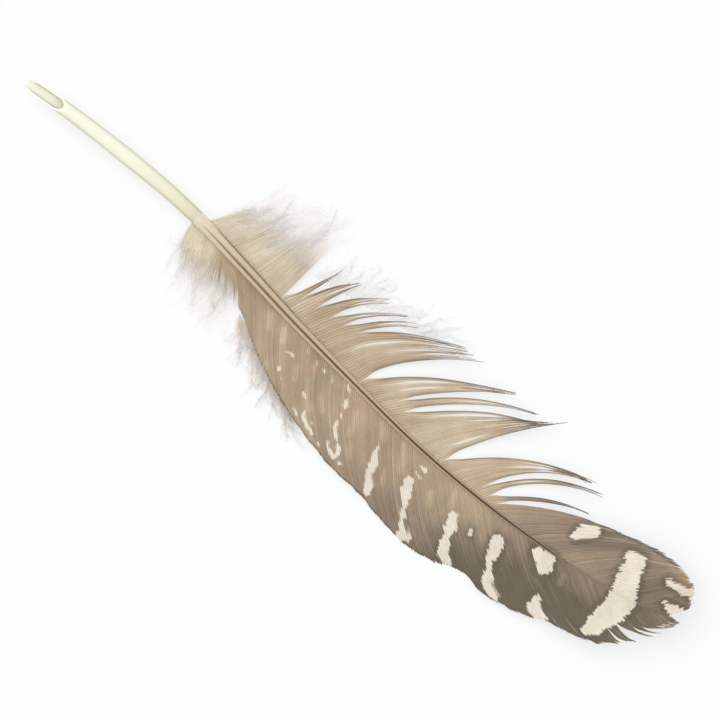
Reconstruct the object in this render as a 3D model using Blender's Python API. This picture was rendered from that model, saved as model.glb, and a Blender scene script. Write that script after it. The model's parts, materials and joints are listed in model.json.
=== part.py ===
"""A small quill pen cut from one flank feather.

The feather lies ventral side up.  Layout frame: +X runs along the shaft from
the nib to the tip of the vane, +Y is the side of the split (inner) vane, +Z is
up, and the floor it rests on is z = 0.  Lengths are in metres, except in the
tables, which are in millimetres.  At the end everything is shifted so that the
origin is the centre of the bounding box's bottom.
"""
import math
from collections import namedtuple

import bpy
import numpy as np
from mathutils import Matrix, Vector

MM = 1e-3

# ------------------------------------------------------------ driving dimensions
BARREL_END = 26.5 * MM     # the bare barrel (calamus) ends at the upper umbilicus
BARREL_WALL = 0.22 * MM
BARREL_SIDES = 28

CUP_COUNT = 9              # dried pulp caps: a string of nested cups
CUP_START = 12.6 * MM
CUP_PITCH = 1.45 * MM
CUP_SIDES = 12
PLUG_SPAN = (BARREL_END - 0.50 * MM, BARREL_END - 0.12 * MM)
PLUG_GAP = 0.04 * MM       # membrane to barrel wall
PLUG_SIDES = 20

RACHIS_START = BARREL_END + 0.05 * MM
RACHIS_END = 101.83 * MM
RACHIS_SIDES = 24
CORTEX_WALL = 0.16 * MM
PITH_START, PITH_END = 27.0 * MM, 71.5 * MM
PITH_GAP = 0.03 * MM
BORE_END = PITH_END + 0.2 * MM
GROOVE_SHARE = 0.30        # depth of the ventral groove over the shaft's height
BORE_GROOVE = 0.8 * GROOVE_SHARE
PITH_GROOVE = 0.95 * GROOVE_SHARE

NIB_RISE = 1.5 * MM        # how far the bare end stands off the floor
TIP_RISE = 3.2 * MM        # how far the vane's tip curls off the floor
FLAT_FROM, FLAT_TO = 28.0 * MM, 75.0 * MM   # the stretch of shaft that rests on the floor

VANE_THICK = 0.22 * MM     # closed barb web, at its root
VANE_EDGE = 0.14 * MM      # and at its free margin
ROOT_GAP = 0.10 * MM       # web to shaft
ROOT_BASE = 0.10 * MM      # a web's root stands this high over the shaft's underside,
ROOT_SHARE = 0.28          # plus this share of the shaft's height
CURL = 2.0                 # power by which a barb rises from root to tip
INNER_GAP = 0.136 * MM     # between neighbouring closed webs, along the shaft
OUTER_GAP = 0.119 * MM

DOWN_BOTTOM = 0.03 * MM    # pads of down between the vane and the floor
# share of the barb where the pad starts, swell of its margin, height of its top
TUFT = dict(start=0.16, bulge=1.02 * MM, top=0.30 * MM)
FRINGE = dict(start=0.62, bulge=0.34 * MM, top=0.16 * MM)

# ------------------------------------------------------------ shaft and margin tables, in mm
# the shaft's centre line in plan: x, y
SHAFT_LINE = (
    (0, -0.17), (6.8, 0.17), (15.3, 0.204), (22.1, 0), (27.2, -0.459), (34, -1.496),
    (44.2, -3.128), (54.4, -4.522), (64.6, -5.678), (74.8, -6.12), (85, -5.848),
    (93.5, -5.032), (99.28, -3.808), (103.02, -2.142),
)
# x, barrel radius
BARREL = ((0, 0.84), (3.4, 0.90), (6.8, 0.96), (15.3, 1.03), (20.4, 0.97), (26.52, 0.90))
# x, half width, height
RACHIS = (
    (26.52, 0.90, 1.80), (31.28, 0.82, 1.48), (40.8, 0.72, 1.15), (47.6, 0.61, 1.00),
    (54.4, 0.51, 0.86), (61.2, 0.44, 0.74), (68, 0.37, 0.64), (74.8, 0.32, 0.55),
    (85, 0.24, 0.42), (95.2, 0.16, 0.30), (103.02, 0.10, 0.20),
)
# free margins of the closed webs in plan: x, y
OUTER_MARGIN = (
    (26.18, -3.4), (27.54, -5.44), (30.6, -6.46), (34, -6.256), (37.06, -5.95),
    (42.5, -9.01), (47.6, -11.322), (56.1, -13.94), (63.58, -14.892), (70.38, -16.15),
    (74.8, -15.742), (78.71, -14.484), (82.62, -15.028), (86.7, -14.28), (90.44, -12.92),
    (95.54, -11.662), (97.92, -10.54), (99.62, -9.18), (101.66, -5.44), (103.02, -2.448),
)
INNER_MARGIN = (
    (29.92, 3.06), (31.28, 4.93), (35.02, 5.78), (41.412, 6.97), (87.04, 0.272),
    (90.1, 1.02), (92.48, 1.7), (95.54, 2.38), (99.11, 2.38), (100.98, 1.836),
    (102.17, 1.02), (103.02, -1.088),
)

# ------------------------------------------------------------ barb tables, in mm
# bounding barbs of the closed webs: root x, (x, y) half way along, tip x on the margin, tip lift
INNER_BASE_BARBS = (
    (27.71, (29.24, 2.21), 30.94, 0.60),
    (32.096, (33.524, 2.21), 35.156, 0.62),
    (36.346, (37.468, 2.04), 38.556, 0.60),
    (40.392, (40.902, 2.04), 41.412, 0.60),
)
INNER_TIP_BARBS = (
    (76.126, (81.328, -2.38), 87.04, 0.35),
    (82.688, (87.856, -1.564), 94.316, 0.45),
    (89.148, (93.908, -0.646), 99.144, 0.50),
    (101.49, (102.204, -1.972), 102.884, 0.40),
)
OUTER_BARBS = (
    (26.35, (26.52, -3.06), 27.54, 0.62),
    (34, (35.496, -3.944), 37.06, 0.62),
    (41.14, (44.03, -7.752), 47.6, 0.60),
    (47.6, (51.34, -9.69), 56.1, 0.50),
    (54.06, (58.48, -10.71), 63.58, 0.22),
    (60.18, (64.872, -11.56), 70.38, 0.11),
    (67.66, (72.76, -11.356), 78.71, 0.11),
    (72.76, (78.54, -11.424), 84.32, 0.11),
    (78.54, (84.32, -10.71), 90.44, 0.13),
    (84.32, (89.76, -9.69), 95.54, 0.18),
    (90.44, (95.2, -8.364), 99.45, 0.25),
    (96.22, (99.212, -6.12), 101.66, 0.32),
    (101.49, (102.408, -2.924), 102.952, 0.36),
)
# free locks of the inner vane, each split from its neighbours down to the shaft:
# first barb, last barb (root x, (x, y) half way along, (x, y) of the tip), tip lifts of the two
LOCKS = (
    ((40.596, (42.33, 1.53), (44.132, 5.61)), (41.582, (43.18, 1.632), (44.506, 5.168)),
     (0.85, 0.80)),
    ((41.718, (44.132, 2.652), (46.92, 5.848)), (43.452, (45.56, 2.04), (47.328, 5.44)),
     (1.15, 1.00)),
    ((43.588, (46.75, 2.822), (51, 6.324)), (45.152, (47.872, 2.21), (51.34, 5.78)),
     (0.90, 0.95)),
    ((45.288, (48.892, 2.448), (53.89, 6.256)), (46.682, (49.708, 2.074), (54.332, 5.746)),
     (1.05, 0.95)),
    ((46.818, (50.728, 2.516), (55.42, 6.188)), (48.042, (51.544, 1.904), (56.1, 5.576)),
     (0.92, 0.95)),
    ((48.178, (53.04, 2.924), (61.88, 7.582)), (54.162, (57.8, 1.7), (65.11, 7.344)),
     (1.05, 1.40)),
    ((54.298, (60.52, 1.7), (70.21, 7.072)), (58.072, (63.58, 1.428), (70.55, 6.392)),
     (1.60, 1.35)),
    ((58.208, (65.416, 2.346), (74.12, 6.562)), (59.568, (66.504, 1.904), (73.984, 5.984)),
     (0.95, 0.90)),
    ((59.704, (67.796, 2.006), (75.004, 5.508)), (68.102, (71.57, 0.68), (77.452, 7.922)),
     (1.30, 2.10)),
    ((68.238, (75.82, 0.918), (84.864, 4.216)), (73.542, (78.064, 0.34), (84.116, 3.74)),
     (1.20, 1.15)),
    ((73.678, (78.982, 0.408), (86.292, 3.808)), (74.902, (79.628, -0.17), (86.564, 3.196)),
     (1.75, 1.60)),
    ((75.038, (80.58, -1.36), (86.36, 0.986)), (75.99, (81.192, -1.802), (86.496, 0.578)),
     (0.85, 0.80)),
)
# pads of down: name, side, shape, first barb, last barb (columns as for the locks)
DOWN_PADS = (
    ("down_inner_tuft", +1, TUFT,
     (28.56, (29.92, 3.74), (31.62, 7.82)), (39.95, (40.63, 4.42), (41.82, 10.88))),
    ("down_inner_fringe", +1, FRINGE,
     (43.18, (44.54, 5.27), (45.56, 7.99)), (53.72, (58.48, 5.78), (61.54, 8.364))),
    ("down_outer_tuft", -1, TUFT,
     (26.86, (26.452, -4.08), (26.86, -6.8)), (34, (35.53, -5.44), (37.4, -9.86))),
    ("down_outer_fringe", -1, FRINGE,
     (38.08, (39.61, -8.33), (41.48, -11.22)), (47.6, (50.32, -11.73), (53.04, -13.94))),
)


# ------------------------------------------------------------ curves
def curve(table, column=1):
    """A smooth curve in metres through a column of a table in mm, over its first column.

    It is a cubic Hermite with finite-difference slopes.
    """
    xs, ys = np.array(table, float).T[[0, column]] * MM
    chord = np.diff(ys) / np.diff(xs)
    slope = np.concatenate([[chord[0]], (chord[1:] + chord[:-1]) / 2, [chord[-1]]])

    def at(x):
        i = int(np.clip(np.searchsorted(xs, x) - 1, 0, len(xs) - 2))
        width = xs[i + 1] - xs[i]
        t = (x - xs[i]) / width
        return float(
            (2 * t**3 - 3 * t**2 + 1) * ys[i] + (t**3 - 2 * t**2 + t) * width * slope[i]
            + (3 * t**2 - 2 * t**3) * ys[i + 1] + (t**3 - t**2) * width * slope[i + 1]
        )

    return at


shaft_y = curve(SHAFT_LINE)
barrel_radius = curve(BARREL)
half_width = curve(RACHIS, column=1)
height = curve(RACHIS, column=2)
outer_margin = curve(OUTER_MARGIN)
inner_margin = curve(INNER_MARGIN)


def smooth(start, end, x):
    """Smoothstep from 0 at the start to 1 at the end."""
    t = min(1.0, max(0.0, (x - start) / (end - start)))
    return t * t * (3 - 2 * t)


def mix(start, end, t):
    return start + (end - start) * t


def spread(start, end, count):
    return np.linspace(start, end, count).tolist()


def arch(x):
    """Height of the underside over the floor: flat in the middle, rising to both ends."""
    if x < FLAT_FROM:
        return NIB_RISE * ((FLAT_FROM - x) / FLAT_FROM) ** 2
    if x > FLAT_TO:
        return TIP_RISE * ((x - FLAT_TO) / (RACHIS_END - FLAT_TO)) ** 2
    return 0.0


def shaft_normal(x):
    """Unit normal of the shaft in plan, on the +Y side."""
    step = 0.2 * MM
    return Vector((shaft_y(x - step) - shaft_y(x + step), 2 * step)).normalized()


def place(x, across, up):
    """A point given along the shaft, across it and above its underside."""
    normal = shaft_normal(x)
    return (x + normal.x * across, shaft_y(x) + normal.y * across, arch(x) + up)


# ------------------------------------------------------------ mesh makers
def loft(rings, cap_start=True, cap_end=True):
    """A body through rings of equal point count, running towards +X."""
    n = len(rings[0])
    verts = [p for ring in rings for p in ring]
    faces = []
    for i in range(len(rings) - 1):
        for k in range(n):
            a, b = i * n + k, i * n + (k + 1) % n
            faces.append((a, b, b + n, a + n))
    if cap_start:
        faces.append(tuple(reversed(range(n))))
    if cap_end:
        faces.append(tuple(range(len(verts) - n, len(verts))))
    return verts, faces


def tube(outer, inner, blind_end):
    """Outer and inner lofts joined at the start, and at the end too unless the bore is blind."""
    n = len(outer[0])
    outer_verts, faces = loft(outer, cap_start=False, cap_end=blind_end)
    inner_verts, inner_faces = loft(inner, cap_start=False, cap_end=blind_end)
    shift = len(outer_verts)
    faces += [tuple(reversed([shift + v for v in f])) for f in inner_faces]
    for k in range(n):
        j = (k + 1) % n
        faces.append((k, shift + k, shift + j, j))
        if not blind_end:
            a, b = shift - n, shift + len(inner_verts) - n
            faces.append((a + k, a + j, b + j, b + k))
    return outer_verts + inner_verts, faces


def web(barbs, across=3, along=9, thick=VANE_THICK, edge=VANE_EDGE):
    """A family of barbs as one thin closed plate."""
    top, bottom = [], []
    for i in range(across + 1):
        for j in range(along + 1):
            p = barbs.point(i / across, j / along)
            half = 0.5 * mix(thick, edge, j / along)
            top.append((p.x, p.y, p.z + half))
            bottom.append((p.x, p.y, p.z - half))
    n, row = len(top), along + 1
    faces = []
    for i in range(across):
        for j in range(along):
            a, b = i * row + j, (i + 1) * row + j
            c, d = b + 1, a + 1
            faces += [(a, b, c, d), (n + d, n + c, n + b, n + a)]
    rim = [i * row for i in range(across + 1)]
    rim += [across * row + j for j in range(1, along + 1)]
    rim += [i * row + along for i in range(across - 1, -1, -1)]
    rim += list(range(along - 1, 0, -1))
    for a, b in zip(rim, rim[1:] + rim[:1]):
        faces.append((b, a, n + a, n + b))
    if barbs.side < 0:
        faces = [tuple(reversed(f)) for f in faces]
    return top + bottom, faces


def prism(profile, axis, low, high):
    """A profile of (u, v) pairs pushed along Y (u, v = x, z) or along Z (u, v = x, y)."""
    n = len(profile)
    around = sum(u0 * v1 - u1 * v0
                 for (u0, v0), (u1, v1) in zip(profile[-1:] + profile[:-1], profile))
    if (around > 0) != (axis == "Y"):
        profile = profile[::-1]
    if axis == "Y":
        verts = [(u, level, v) for level in (low, high) for u, v in profile]
    else:
        verts = [(u, v, level) for level in (low, high) for u, v in profile]
    faces = [tuple(range(n)), tuple(n + k for k in reversed(range(n)))]
    faces += [(k, n + k, n + (k + 1) % n, (k + 1) % n) for k in range(n)]
    return verts, faces


# a body's mesh is (verts, faces); its pivot and X direction may be left out
Piece = namedtuple("Piece", "name mesh look pivot direction", defaults=(None, None))


# ------------------------------------------------------------ barrel
def barrel_ring(x, radius, sides):
    """A circle round the barrel's axis, counted so that a loft towards +X faces out."""
    middle = barrel_radius(x)
    return [
        place(x, radius * math.cos(a), middle + radius * math.sin(a))
        for a in (2 * math.pi * k / sides for k in range(sides))
    ]


def calamus_barrel():
    stations = spread(0.0, BARREL_END, 18)
    outer, inner = (
        [barrel_ring(x, barrel_radius(x) - inset, BARREL_SIDES) for x in stations]
        for inset in (0.0, BARREL_WALL)
    )
    return Piece("calamus_barrel", tube(outer, inner, blind_end=False), "barrel_keratin")


def pulp_caps():
    # share of the pitch, radius in mm
    cup = ((0.0, 0.16), (0.25, 0.20), (0.62, 0.42), (0.80, 0.60), (0.84, 0.24))
    rings = [
        barrel_ring(CUP_START + (i + share) * CUP_PITCH, radius * MM, CUP_SIDES)
        for i in range(CUP_COUNT) for share, radius in cup
    ]
    return Piece("pulp_caps", loft(rings), "pulp_membrane")


def umbilical_membrane():
    inset = BARREL_WALL + PLUG_GAP
    rings = [barrel_ring(x, barrel_radius(x) - inset, PLUG_SIDES) for x in PLUG_SPAN]
    return Piece("umbilical_membrane", loft(rings), "pulp_membrane")


# ------------------------------------------------------------ rachis
SQUARING = 0.28            # how far the section's round power drops, and by where
SQUARE_BY = 33 * MM
FLAT_SHARE = 0.05          # share of the section cut flat at its back, and by where
FLAT_BY = 30 * MM
GROOVE_SPAN = (28 * MM, 35 * MM)   # the groove deepens over this stretch
GROOVE_SPREAD = 0.30       # groove's half width over the section's


def signed_power(value, power):
    return math.copysign(abs(value) ** power, value) if abs(value) > 1e-9 else 0.0


def shaft_section(x, inset, groove_share):
    """The rachis's section: a rounded bar with a flat back and a groove along its belly."""
    half, tall = half_width(x) - inset, height(x) - 2 * inset
    power = 1.0 - SQUARING * smooth(BARREL_END, SQUARE_BY, x)
    flat = FLAT_SHARE * smooth(BARREL_END, FLAT_BY, x)
    groove = groove_share * tall * smooth(*GROOVE_SPAN, x)
    ring = []
    for k in range(RACHIS_SIDES):
        angle = 2 * math.pi * k / RACHIS_SIDES
        across = half * signed_power(math.cos(angle), power)
        up = 0.5 + 0.5 * signed_power(math.sin(angle), power)
        up = tall * (max(up, flat) - flat) / (1 - flat)
        if math.sin(angle) > 0:
            up -= groove * math.exp(-((across / (GROOVE_SPREAD * half)) ** 2))
        ring.append(place(x, across, inset + up))
    return ring


def sections(start, end, count, inset, groove_share):
    return [shaft_section(x, inset, groove_share) for x in spread(start, end, count)]


def rachis_cortex():
    outer = sections(RACHIS_START, RACHIS_END, 28, 0.0, GROOVE_SHARE)
    bore = sections(RACHIS_START, BORE_END, 16, CORTEX_WALL, BORE_GROOVE)
    return Piece("rachis_cortex", tube(outer, bore, blind_end=True), "shaft_keratin")


def rachis_pith():
    core = sections(PITH_START, PITH_END, 16, CORTEX_WALL + PITH_GAP, PITH_GROOVE)
    return Piece("rachis_pith", loft(core), "pith")


# ------------------------------------------------------------ vane and down
class Barbs:
    """A family of barbs between two bounding barbs of one web.

    A bounding barb is given in mm by its root's x on the shaft, a point half way
    along it, and its tip, which is x alone where a margin curve gives its y.
    """

    def __init__(self, side, first, last, margin=None, lift=None):
        self.side, self.margin, self.lift = side, margin, lift
        self.roots, self.middles, self.tips = zip(first, last)

    def root_x(self, f):
        return mix(*self.roots, f) * MM

    def root(self, f):
        x = self.root_x(f)
        return Vector(place(x, self.side * (half_width(x) + ROOT_GAP), 0.0)[:2])

    def tip(self, f):
        if self.margin:
            x = mix(*self.tips, f) * MM
            return Vector((x, self.margin(x)))
        return Vector(self.tips[0]).lerp(Vector(self.tips[1]), f) * MM

    def plan(self, f, t):
        """Plan position at barb f, share t along it, on a parabola through its three points."""
        root, tip = self.root(f), self.tip(f)
        middle = Vector(self.middles[0]).lerp(Vector(self.middles[1]), f) * MM
        control = 2 * middle - (root + tip) / 2
        return root * (1 - t) ** 2 + control * (2 * t * (1 - t)) + tip * t**2

    def point(self, f, t):
        """A point of the web's middle surface."""
        p = self.plan(f, t)
        low = ROOT_BASE + ROOT_SHARE * height(self.root_x(f))
        high = mix(*self.lift, f) * MM
        return Vector((p.x, p.y, arch(p.x) + mix(low, high, t**CURL)))


class Pad(Barbs):
    """A pad of down: it starts away from the shaft, lies flat and has a rounded margin."""

    def __init__(self, side, first, last, start, bulge, top):
        super().__init__(side, first, last)
        self.start, self.bulge, self.top = start, bulge, top

    def point(self, f, t):
        p = self.plan(f, mix(self.start, 1.0, t))
        swell = self.side * self.bulge * 4 * f * (1 - f) * t
        return Vector((p.x, p.y + swell, 0.5 * (DOWN_BOTTOM + self.top)))


def centred(name, mesh, look):
    """A piece that pivots at the mean of its vertices."""
    return Piece(name, mesh, look, Vector(np.array(mesh[0]).mean(axis=0)))


def closed_webs(pattern, looks, side, barbs, margin, gap):
    """Webs between neighbouring barbs, each but the last ending a gap short of the next."""
    gap /= MM
    webs = []
    for i, look in enumerate(looks):
        (root, middle, tip, lift), (end_root, (x, y), end_tip, end_lift) = barbs[i:i + 2]
        short = gap if i < len(looks) - 1 else 0.0
        last = (end_root - short, (x - short, y), end_tip - short)
        family = Barbs(side, (root, middle, tip), last, margin, (lift, end_lift))
        webs.append(centred(pattern.format(i + 1), web(family), look))
    return webs


def free_lock(number, first, last, lift):
    """A lock hinged half way along its root line, its X axis along that line."""
    lock = Barbs(+1, first, last, lift=lift)
    start, end = lock.point(0.0, 0.0), lock.point(1.0, 0.0)
    return Piece(f"lock_{number:02d}", web(lock, along=10), "web_beige",
                 (start + end) / 2, (end - start).normalized())


def down_pad(name, side, shape, first, last):
    thick = shape["top"] - DOWN_BOTTOM
    pad = Pad(side, first, last, **shape)
    return centred(name, web(pad, across=8, along=3, thick=thick, edge=thick), "down_grey")


# ------------------------------------------------------------ nib cutters
SLIT_START = -0.5 * MM
SLIT_LENGTH = 3.3 * MM
SLIT_WIDTH = 0.06 * MM

SCOOP_START = -0.6 * MM
SCOOP_LENGTH = 6.6 * MM    # the long oblique cut that opens the barrel
SCOOP_END = SCOOP_LENGTH + 0.3 * MM
TROUGH_FROM = 3.6 * MM     # from here to the nib only the trough is left
TROUGH_DROP = 0.10 * MM    # the trough's edge under the barrel's axis
SCOOP_CLIMB = 1.45 * MM
CLIMB_END = SCOOP_LENGTH + 0.5 * MM
CLIMB_POWER = 0.8
SCOOP_TOP = 6 * MM

TIP_HALF_WIDTH = 0.46 * MM
SHOULDER = 2.7 * MM        # where the shoulders of the point begin
SHOULDER_SPAN = (-0.5 * MM, SHOULDER + 0.2 * MM)
FLARE = 0.62 * MM          # widening of the point, where it happens, and its power
FLARE_SPAN = (-0.2 * MM, SHOULDER + 0.1 * MM)
FLARE_POWER = 1.25

CUT_SIDE = 4 * MM          # how far the cutters reach sideways
CUT_BOTTOM, CUT_TOP = -2 * MM, 7 * MM


def cut_scoop():
    profile = []
    for x in spread(SCOOP_START, SCOOP_END, 19):
        inside = max(x, 0.0)
        axis_height = arch(inside) + barrel_radius(inside)
        climb = SCOOP_CLIMB * smooth(TROUGH_FROM, CLIMB_END, x) ** CLIMB_POWER
        profile.append((x, axis_height - TROUGH_DROP + climb))
    profile += [(SCOOP_END, SCOOP_TOP), (SCOOP_START, SCOOP_TOP)]
    return prism(profile, "Y", -CUT_SIDE, CUT_SIDE)


def cut_shoulder(side):
    start, end = SHOULDER_SPAN
    profile = []
    for x in spread(start, end, 15):
        half = TIP_HALF_WIDTH + FLARE * smooth(*FLARE_SPAN, x) ** FLARE_POWER
        profile.append((x, shaft_y(max(x, 0.0)) + side * half))
    profile += [(end, side * CUT_SIDE), (start, side * CUT_SIDE)]
    return prism(profile, "Z", CUT_BOTTOM, CUT_TOP)


def cut_slit():
    start_y, end_y, half = shaft_y(0.0), shaft_y(SLIT_LENGTH), 0.5 * SLIT_WIDTH
    profile = [
        (SLIT_START, start_y - half), (SLIT_LENGTH, end_y - half),
        (SLIT_LENGTH, end_y + half), (SLIT_START, start_y + half),
    ]
    return prism(profile, "Z", CUT_BOTTOM, CUT_TOP)


# ------------------------------------------------------------ materials
# linear colour, roughness
LOOKS = {
    "barrel_keratin": ((0.86, 0.84, 0.68), 0.32),
    "pulp_membrane": ((0.78, 0.72, 0.56), 0.60),
    "shaft_keratin": ((0.56, 0.43, 0.27), 0.38),
    "pith": ((0.88, 0.85, 0.76), 0.85),
    "web_beige": ((0.53, 0.43, 0.30), 0.70),
    "web_taupe": ((0.42, 0.33, 0.22), 0.70),
    "web_brown": ((0.21, 0.16, 0.11), 0.70),
    "down_grey": ((0.76, 0.73, 0.68), 0.90),
}


def material(name, look):
    colour, roughness = LOOKS[look]
    made = bpy.data.materials.new(f"{name}_{look}")
    made.use_nodes = True
    shader = made.node_tree.nodes["Principled BSDF"]
    shader.inputs["Base Color"].default_value = (*colour, 1)
    shader.inputs["Roughness"].default_value = roughness
    shader.inputs["Metallic"].default_value = 0.0
    made.diffuse_color = (*colour, 1)
    return made


# ------------------------------------------------------------ scene
SHARP_ANGLE = math.radians(38)


def add_object(name, mesh_data, origin, root, pivot=None, direction=None):
    """An object whose own origin is its pivot, with its X axis along the direction if any."""
    verts, faces = mesh_data
    frame = Matrix.Identity(4) if pivot is None else Matrix.Translation(pivot - origin)
    if direction is not None:
        side = Vector((0, 0, 1)).cross(direction).normalized()
        up = direction.cross(side)
        frame = frame @ Matrix((direction, side, up)).transposed().to_4x4()
    back = frame.inverted()
    mesh = bpy.data.meshes.new(name)
    mesh.from_pydata([back @ (Vector(v) - origin) for v in verts], [], faces)
    mesh.update()
    obj = bpy.data.objects.new(name, mesh)
    obj.matrix_world = frame
    bpy.context.scene.collection.objects.link(obj)
    obj.parent = root
    return obj


def add_piece(piece, origin, root):
    obj = add_object(piece.name, piece.mesh, origin, root, piece.pivot, piece.direction)
    obj.data.materials.append(material(piece.name, piece.look))
    obj.data.shade_smooth()
    obj.data.set_sharp_from_angle(angle=SHARP_ANGLE)
    return obj


def add_cutter(name, mesh_data, origin, root, barrel):
    cutter = add_object(name, mesh_data, origin, root)
    cutter.hide_render = True
    cutter.display_type = "WIRE"
    cut = barrel.modifiers.new(name, "BOOLEAN")
    cut.operation = "DIFFERENCE"
    cut.solver = "EXACT"
    cut.object = cutter


for old in list(bpy.data.objects):
    bpy.data.objects.remove(old, do_unlink=True)

base_looks, tip_looks = ["web_beige"] * 3, ["web_brown"] * 3
outer_looks = ["web_taupe"] * 6 + ["web_brown"] * 6
pieces = [
    calamus_barrel(),
    pulp_caps(),
    umbilical_membrane(),
    rachis_cortex(),
    rachis_pith(),
    *closed_webs("inner_base_web_{}", base_looks, +1, INNER_BASE_BARBS, inner_margin, INNER_GAP),
    *closed_webs("inner_tip_web_{}", tip_looks, +1, INNER_TIP_BARBS, inner_margin, INNER_GAP),
    *(free_lock(number, *lock) for number, lock in enumerate(LOCKS, start=1)),
    *closed_webs("outer_web_{:02d}", outer_looks, -1, OUTER_BARBS, outer_margin, OUTER_GAP),
    *(down_pad(*pad) for pad in DOWN_PADS),
]
points = np.array([v for piece in pieces for v in piece.mesh[0]])
lowest, highest = points.min(axis=0), points.max(axis=0)
middle = (lowest + highest) / 2
origin = Vector((middle[0], middle[1], lowest[2]))

root = bpy.data.objects.new("quill_pen", None)
bpy.context.scene.collection.objects.link(root)
made = {piece.name: add_piece(piece, origin, root) for piece in pieces}

for name, mesh_data in (
    ("cut_scoop", cut_scoop()),
    ("cut_shoulder_inner", cut_shoulder(+1)),
    ("cut_shoulder_outer", cut_shoulder(-1)),
    ("cut_slit", cut_slit()),
):
    add_cutter(name, mesh_data, origin, root, made["calamus_barrel"])
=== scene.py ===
"""The looks of the small quill pen: every barb of the vane as its own thin closed
ribbon, downy barbs with their barbules, a grooved shaft and a hollow cut barrel.

Shapes are worked out in a layout frame: +X along the shaft from the nib, +Y towards
the split inner vane, +Z up from the floor. Stations of the feather are in layout units
of UNIT metres. Everything is moved to the row frame when its mesh is made."""
import json
import math

import bpy
import numpy as np
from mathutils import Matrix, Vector

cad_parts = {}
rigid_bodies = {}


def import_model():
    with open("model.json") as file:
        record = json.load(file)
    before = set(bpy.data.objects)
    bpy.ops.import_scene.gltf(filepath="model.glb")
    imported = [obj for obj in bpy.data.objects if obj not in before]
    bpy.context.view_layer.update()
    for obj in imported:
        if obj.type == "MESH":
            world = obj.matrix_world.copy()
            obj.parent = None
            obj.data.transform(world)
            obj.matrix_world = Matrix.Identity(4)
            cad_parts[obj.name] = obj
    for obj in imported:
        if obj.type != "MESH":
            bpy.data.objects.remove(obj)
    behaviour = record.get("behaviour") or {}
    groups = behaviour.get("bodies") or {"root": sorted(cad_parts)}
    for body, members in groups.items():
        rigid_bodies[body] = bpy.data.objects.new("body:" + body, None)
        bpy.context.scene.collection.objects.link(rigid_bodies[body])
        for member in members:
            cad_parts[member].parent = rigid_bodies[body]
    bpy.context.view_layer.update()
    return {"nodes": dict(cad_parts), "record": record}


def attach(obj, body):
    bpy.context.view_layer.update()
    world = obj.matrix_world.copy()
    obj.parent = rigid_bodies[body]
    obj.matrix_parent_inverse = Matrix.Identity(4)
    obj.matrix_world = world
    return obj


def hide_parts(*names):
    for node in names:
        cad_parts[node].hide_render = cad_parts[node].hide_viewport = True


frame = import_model()

MM = 1e-3
UNIT = 0.34e-3
SEED = 20117
INNER, OUTER = 1, -1         # sides of the shaft, as signs of layout Y

# ------------------------------------------------------------ shaft layout
BARREL_END = 26.5 * MM
BARREL_WALL = 0.22 * MM
RACHIS_START = 26.45 * MM
RACHIS_END = 299.5 * UNIT
NIB_SLIT_LENGTH, NIB_SLIT_WIDTH = 3.3 * MM, 0.06 * MM
SCOOP_LENGTH, TROUGH_FROM = 6.6 * MM, 3.6 * MM
NIB_TIP_HALF_WIDTH, NIB_SHOULDER = 0.46 * MM, 2.7 * MM
NIB_RISE, TIP_RISE = 1.5 * MM, 3.2 * MM
FLAT_FROM, FLAT_TO = 28.0 * MM, 75.0 * MM
PITH_END = 71.5 * MM
CORTEX_WALL = 0.16 * MM
GROOVE_SHARE = 0.30          # groove depth as a share of the rachis's height

# centre line in units; radius, half width and height in mm against stations in units
SHAFT_X = (0, 20, 45, 65, 80, 100, 130, 160, 190, 220, 250, 275, 292, 303)
SHAFT_Y = (-0.5, 0.5, 0.6, 0.0, -1.35, -4.4, -9.2, -13.3, -16.7, -18.0, -17.2, -14.8, -11.2, -6.3)
BARREL_X = (0, 10, 20, 45, 60, 78)
BARREL_R = (0.84, 0.90, 0.96, 1.03, 0.97, 0.90)
RACHIS_X = (78, 92, 120, 140, 160, 180, 200, 220, 250, 280, 303)
RACHIS_A = (0.90, 0.82, 0.72, 0.61, 0.51, 0.44, 0.37, 0.32, 0.24, 0.16, 0.10)
RACHIS_H = (1.80, 1.48, 1.15, 1.00, 0.86, 0.74, 0.64, 0.55, 0.42, 0.30, 0.20)
# the vane's outlines, in units
OUTER_MARGIN_X = (77, 81, 90, 100, 109, 125, 140, 165, 187, 207, 220, 231.5, 243, 255, 266, 281,
                  288, 293, 299, 303)
OUTER_MARGIN_Y = (-10, -16, -19, -18.4, -17.5, -26.5, -33.3, -41, -43.8, -47.5, -46.3, -42.6,
                  -44.2, -42, -38, -34.3, -31, -27, -16, -7.2)
INNER_MARGIN_X = (88, 92, 103, 121.8, 256, 265, 272, 281, 291.5, 297, 300.5, 303)
INNER_MARGIN_Y = (9, 14.5, 17, 20.5, 0.8, 3, 5, 7, 7, 5.4, 3.0, -3.2)


def curve(xs, ys):
    """A smooth curve through the stations: cubic Hermite with finite-difference slopes."""
    xs, ys = np.array(xs, float), np.array(ys, float)
    chord = np.diff(ys) / np.diff(xs)
    slope = np.concatenate([[chord[0]], (chord[1:] + chord[:-1]) / 2, [chord[-1]]])

    def at(x):
        x = np.asarray(x, float)
        i = np.clip(np.searchsorted(xs, x) - 1, 0, len(xs) - 2)
        step = xs[i + 1] - xs[i]
        t = (x - xs[i]) / step
        return ((2 * t**3 - 3 * t**2 + 1) * ys[i] + (t**3 - 2 * t**2 + t) * step * slope[i]
                + (3 * t**2 - 2 * t**3) * ys[i + 1] + (t**3 - t**2) * step * slope[i + 1])

    return at


shaft_y_units = curve(SHAFT_X, SHAFT_Y)
barrel_r_mm = curve(BARREL_X, BARREL_R)
rachis_a_mm = curve(RACHIS_X, RACHIS_A)
rachis_h_mm = curve(RACHIS_X, RACHIS_H)
outer_margin = curve(OUTER_MARGIN_X, OUTER_MARGIN_Y)
inner_margin = curve(INNER_MARGIN_X, INNER_MARGIN_Y)


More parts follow.
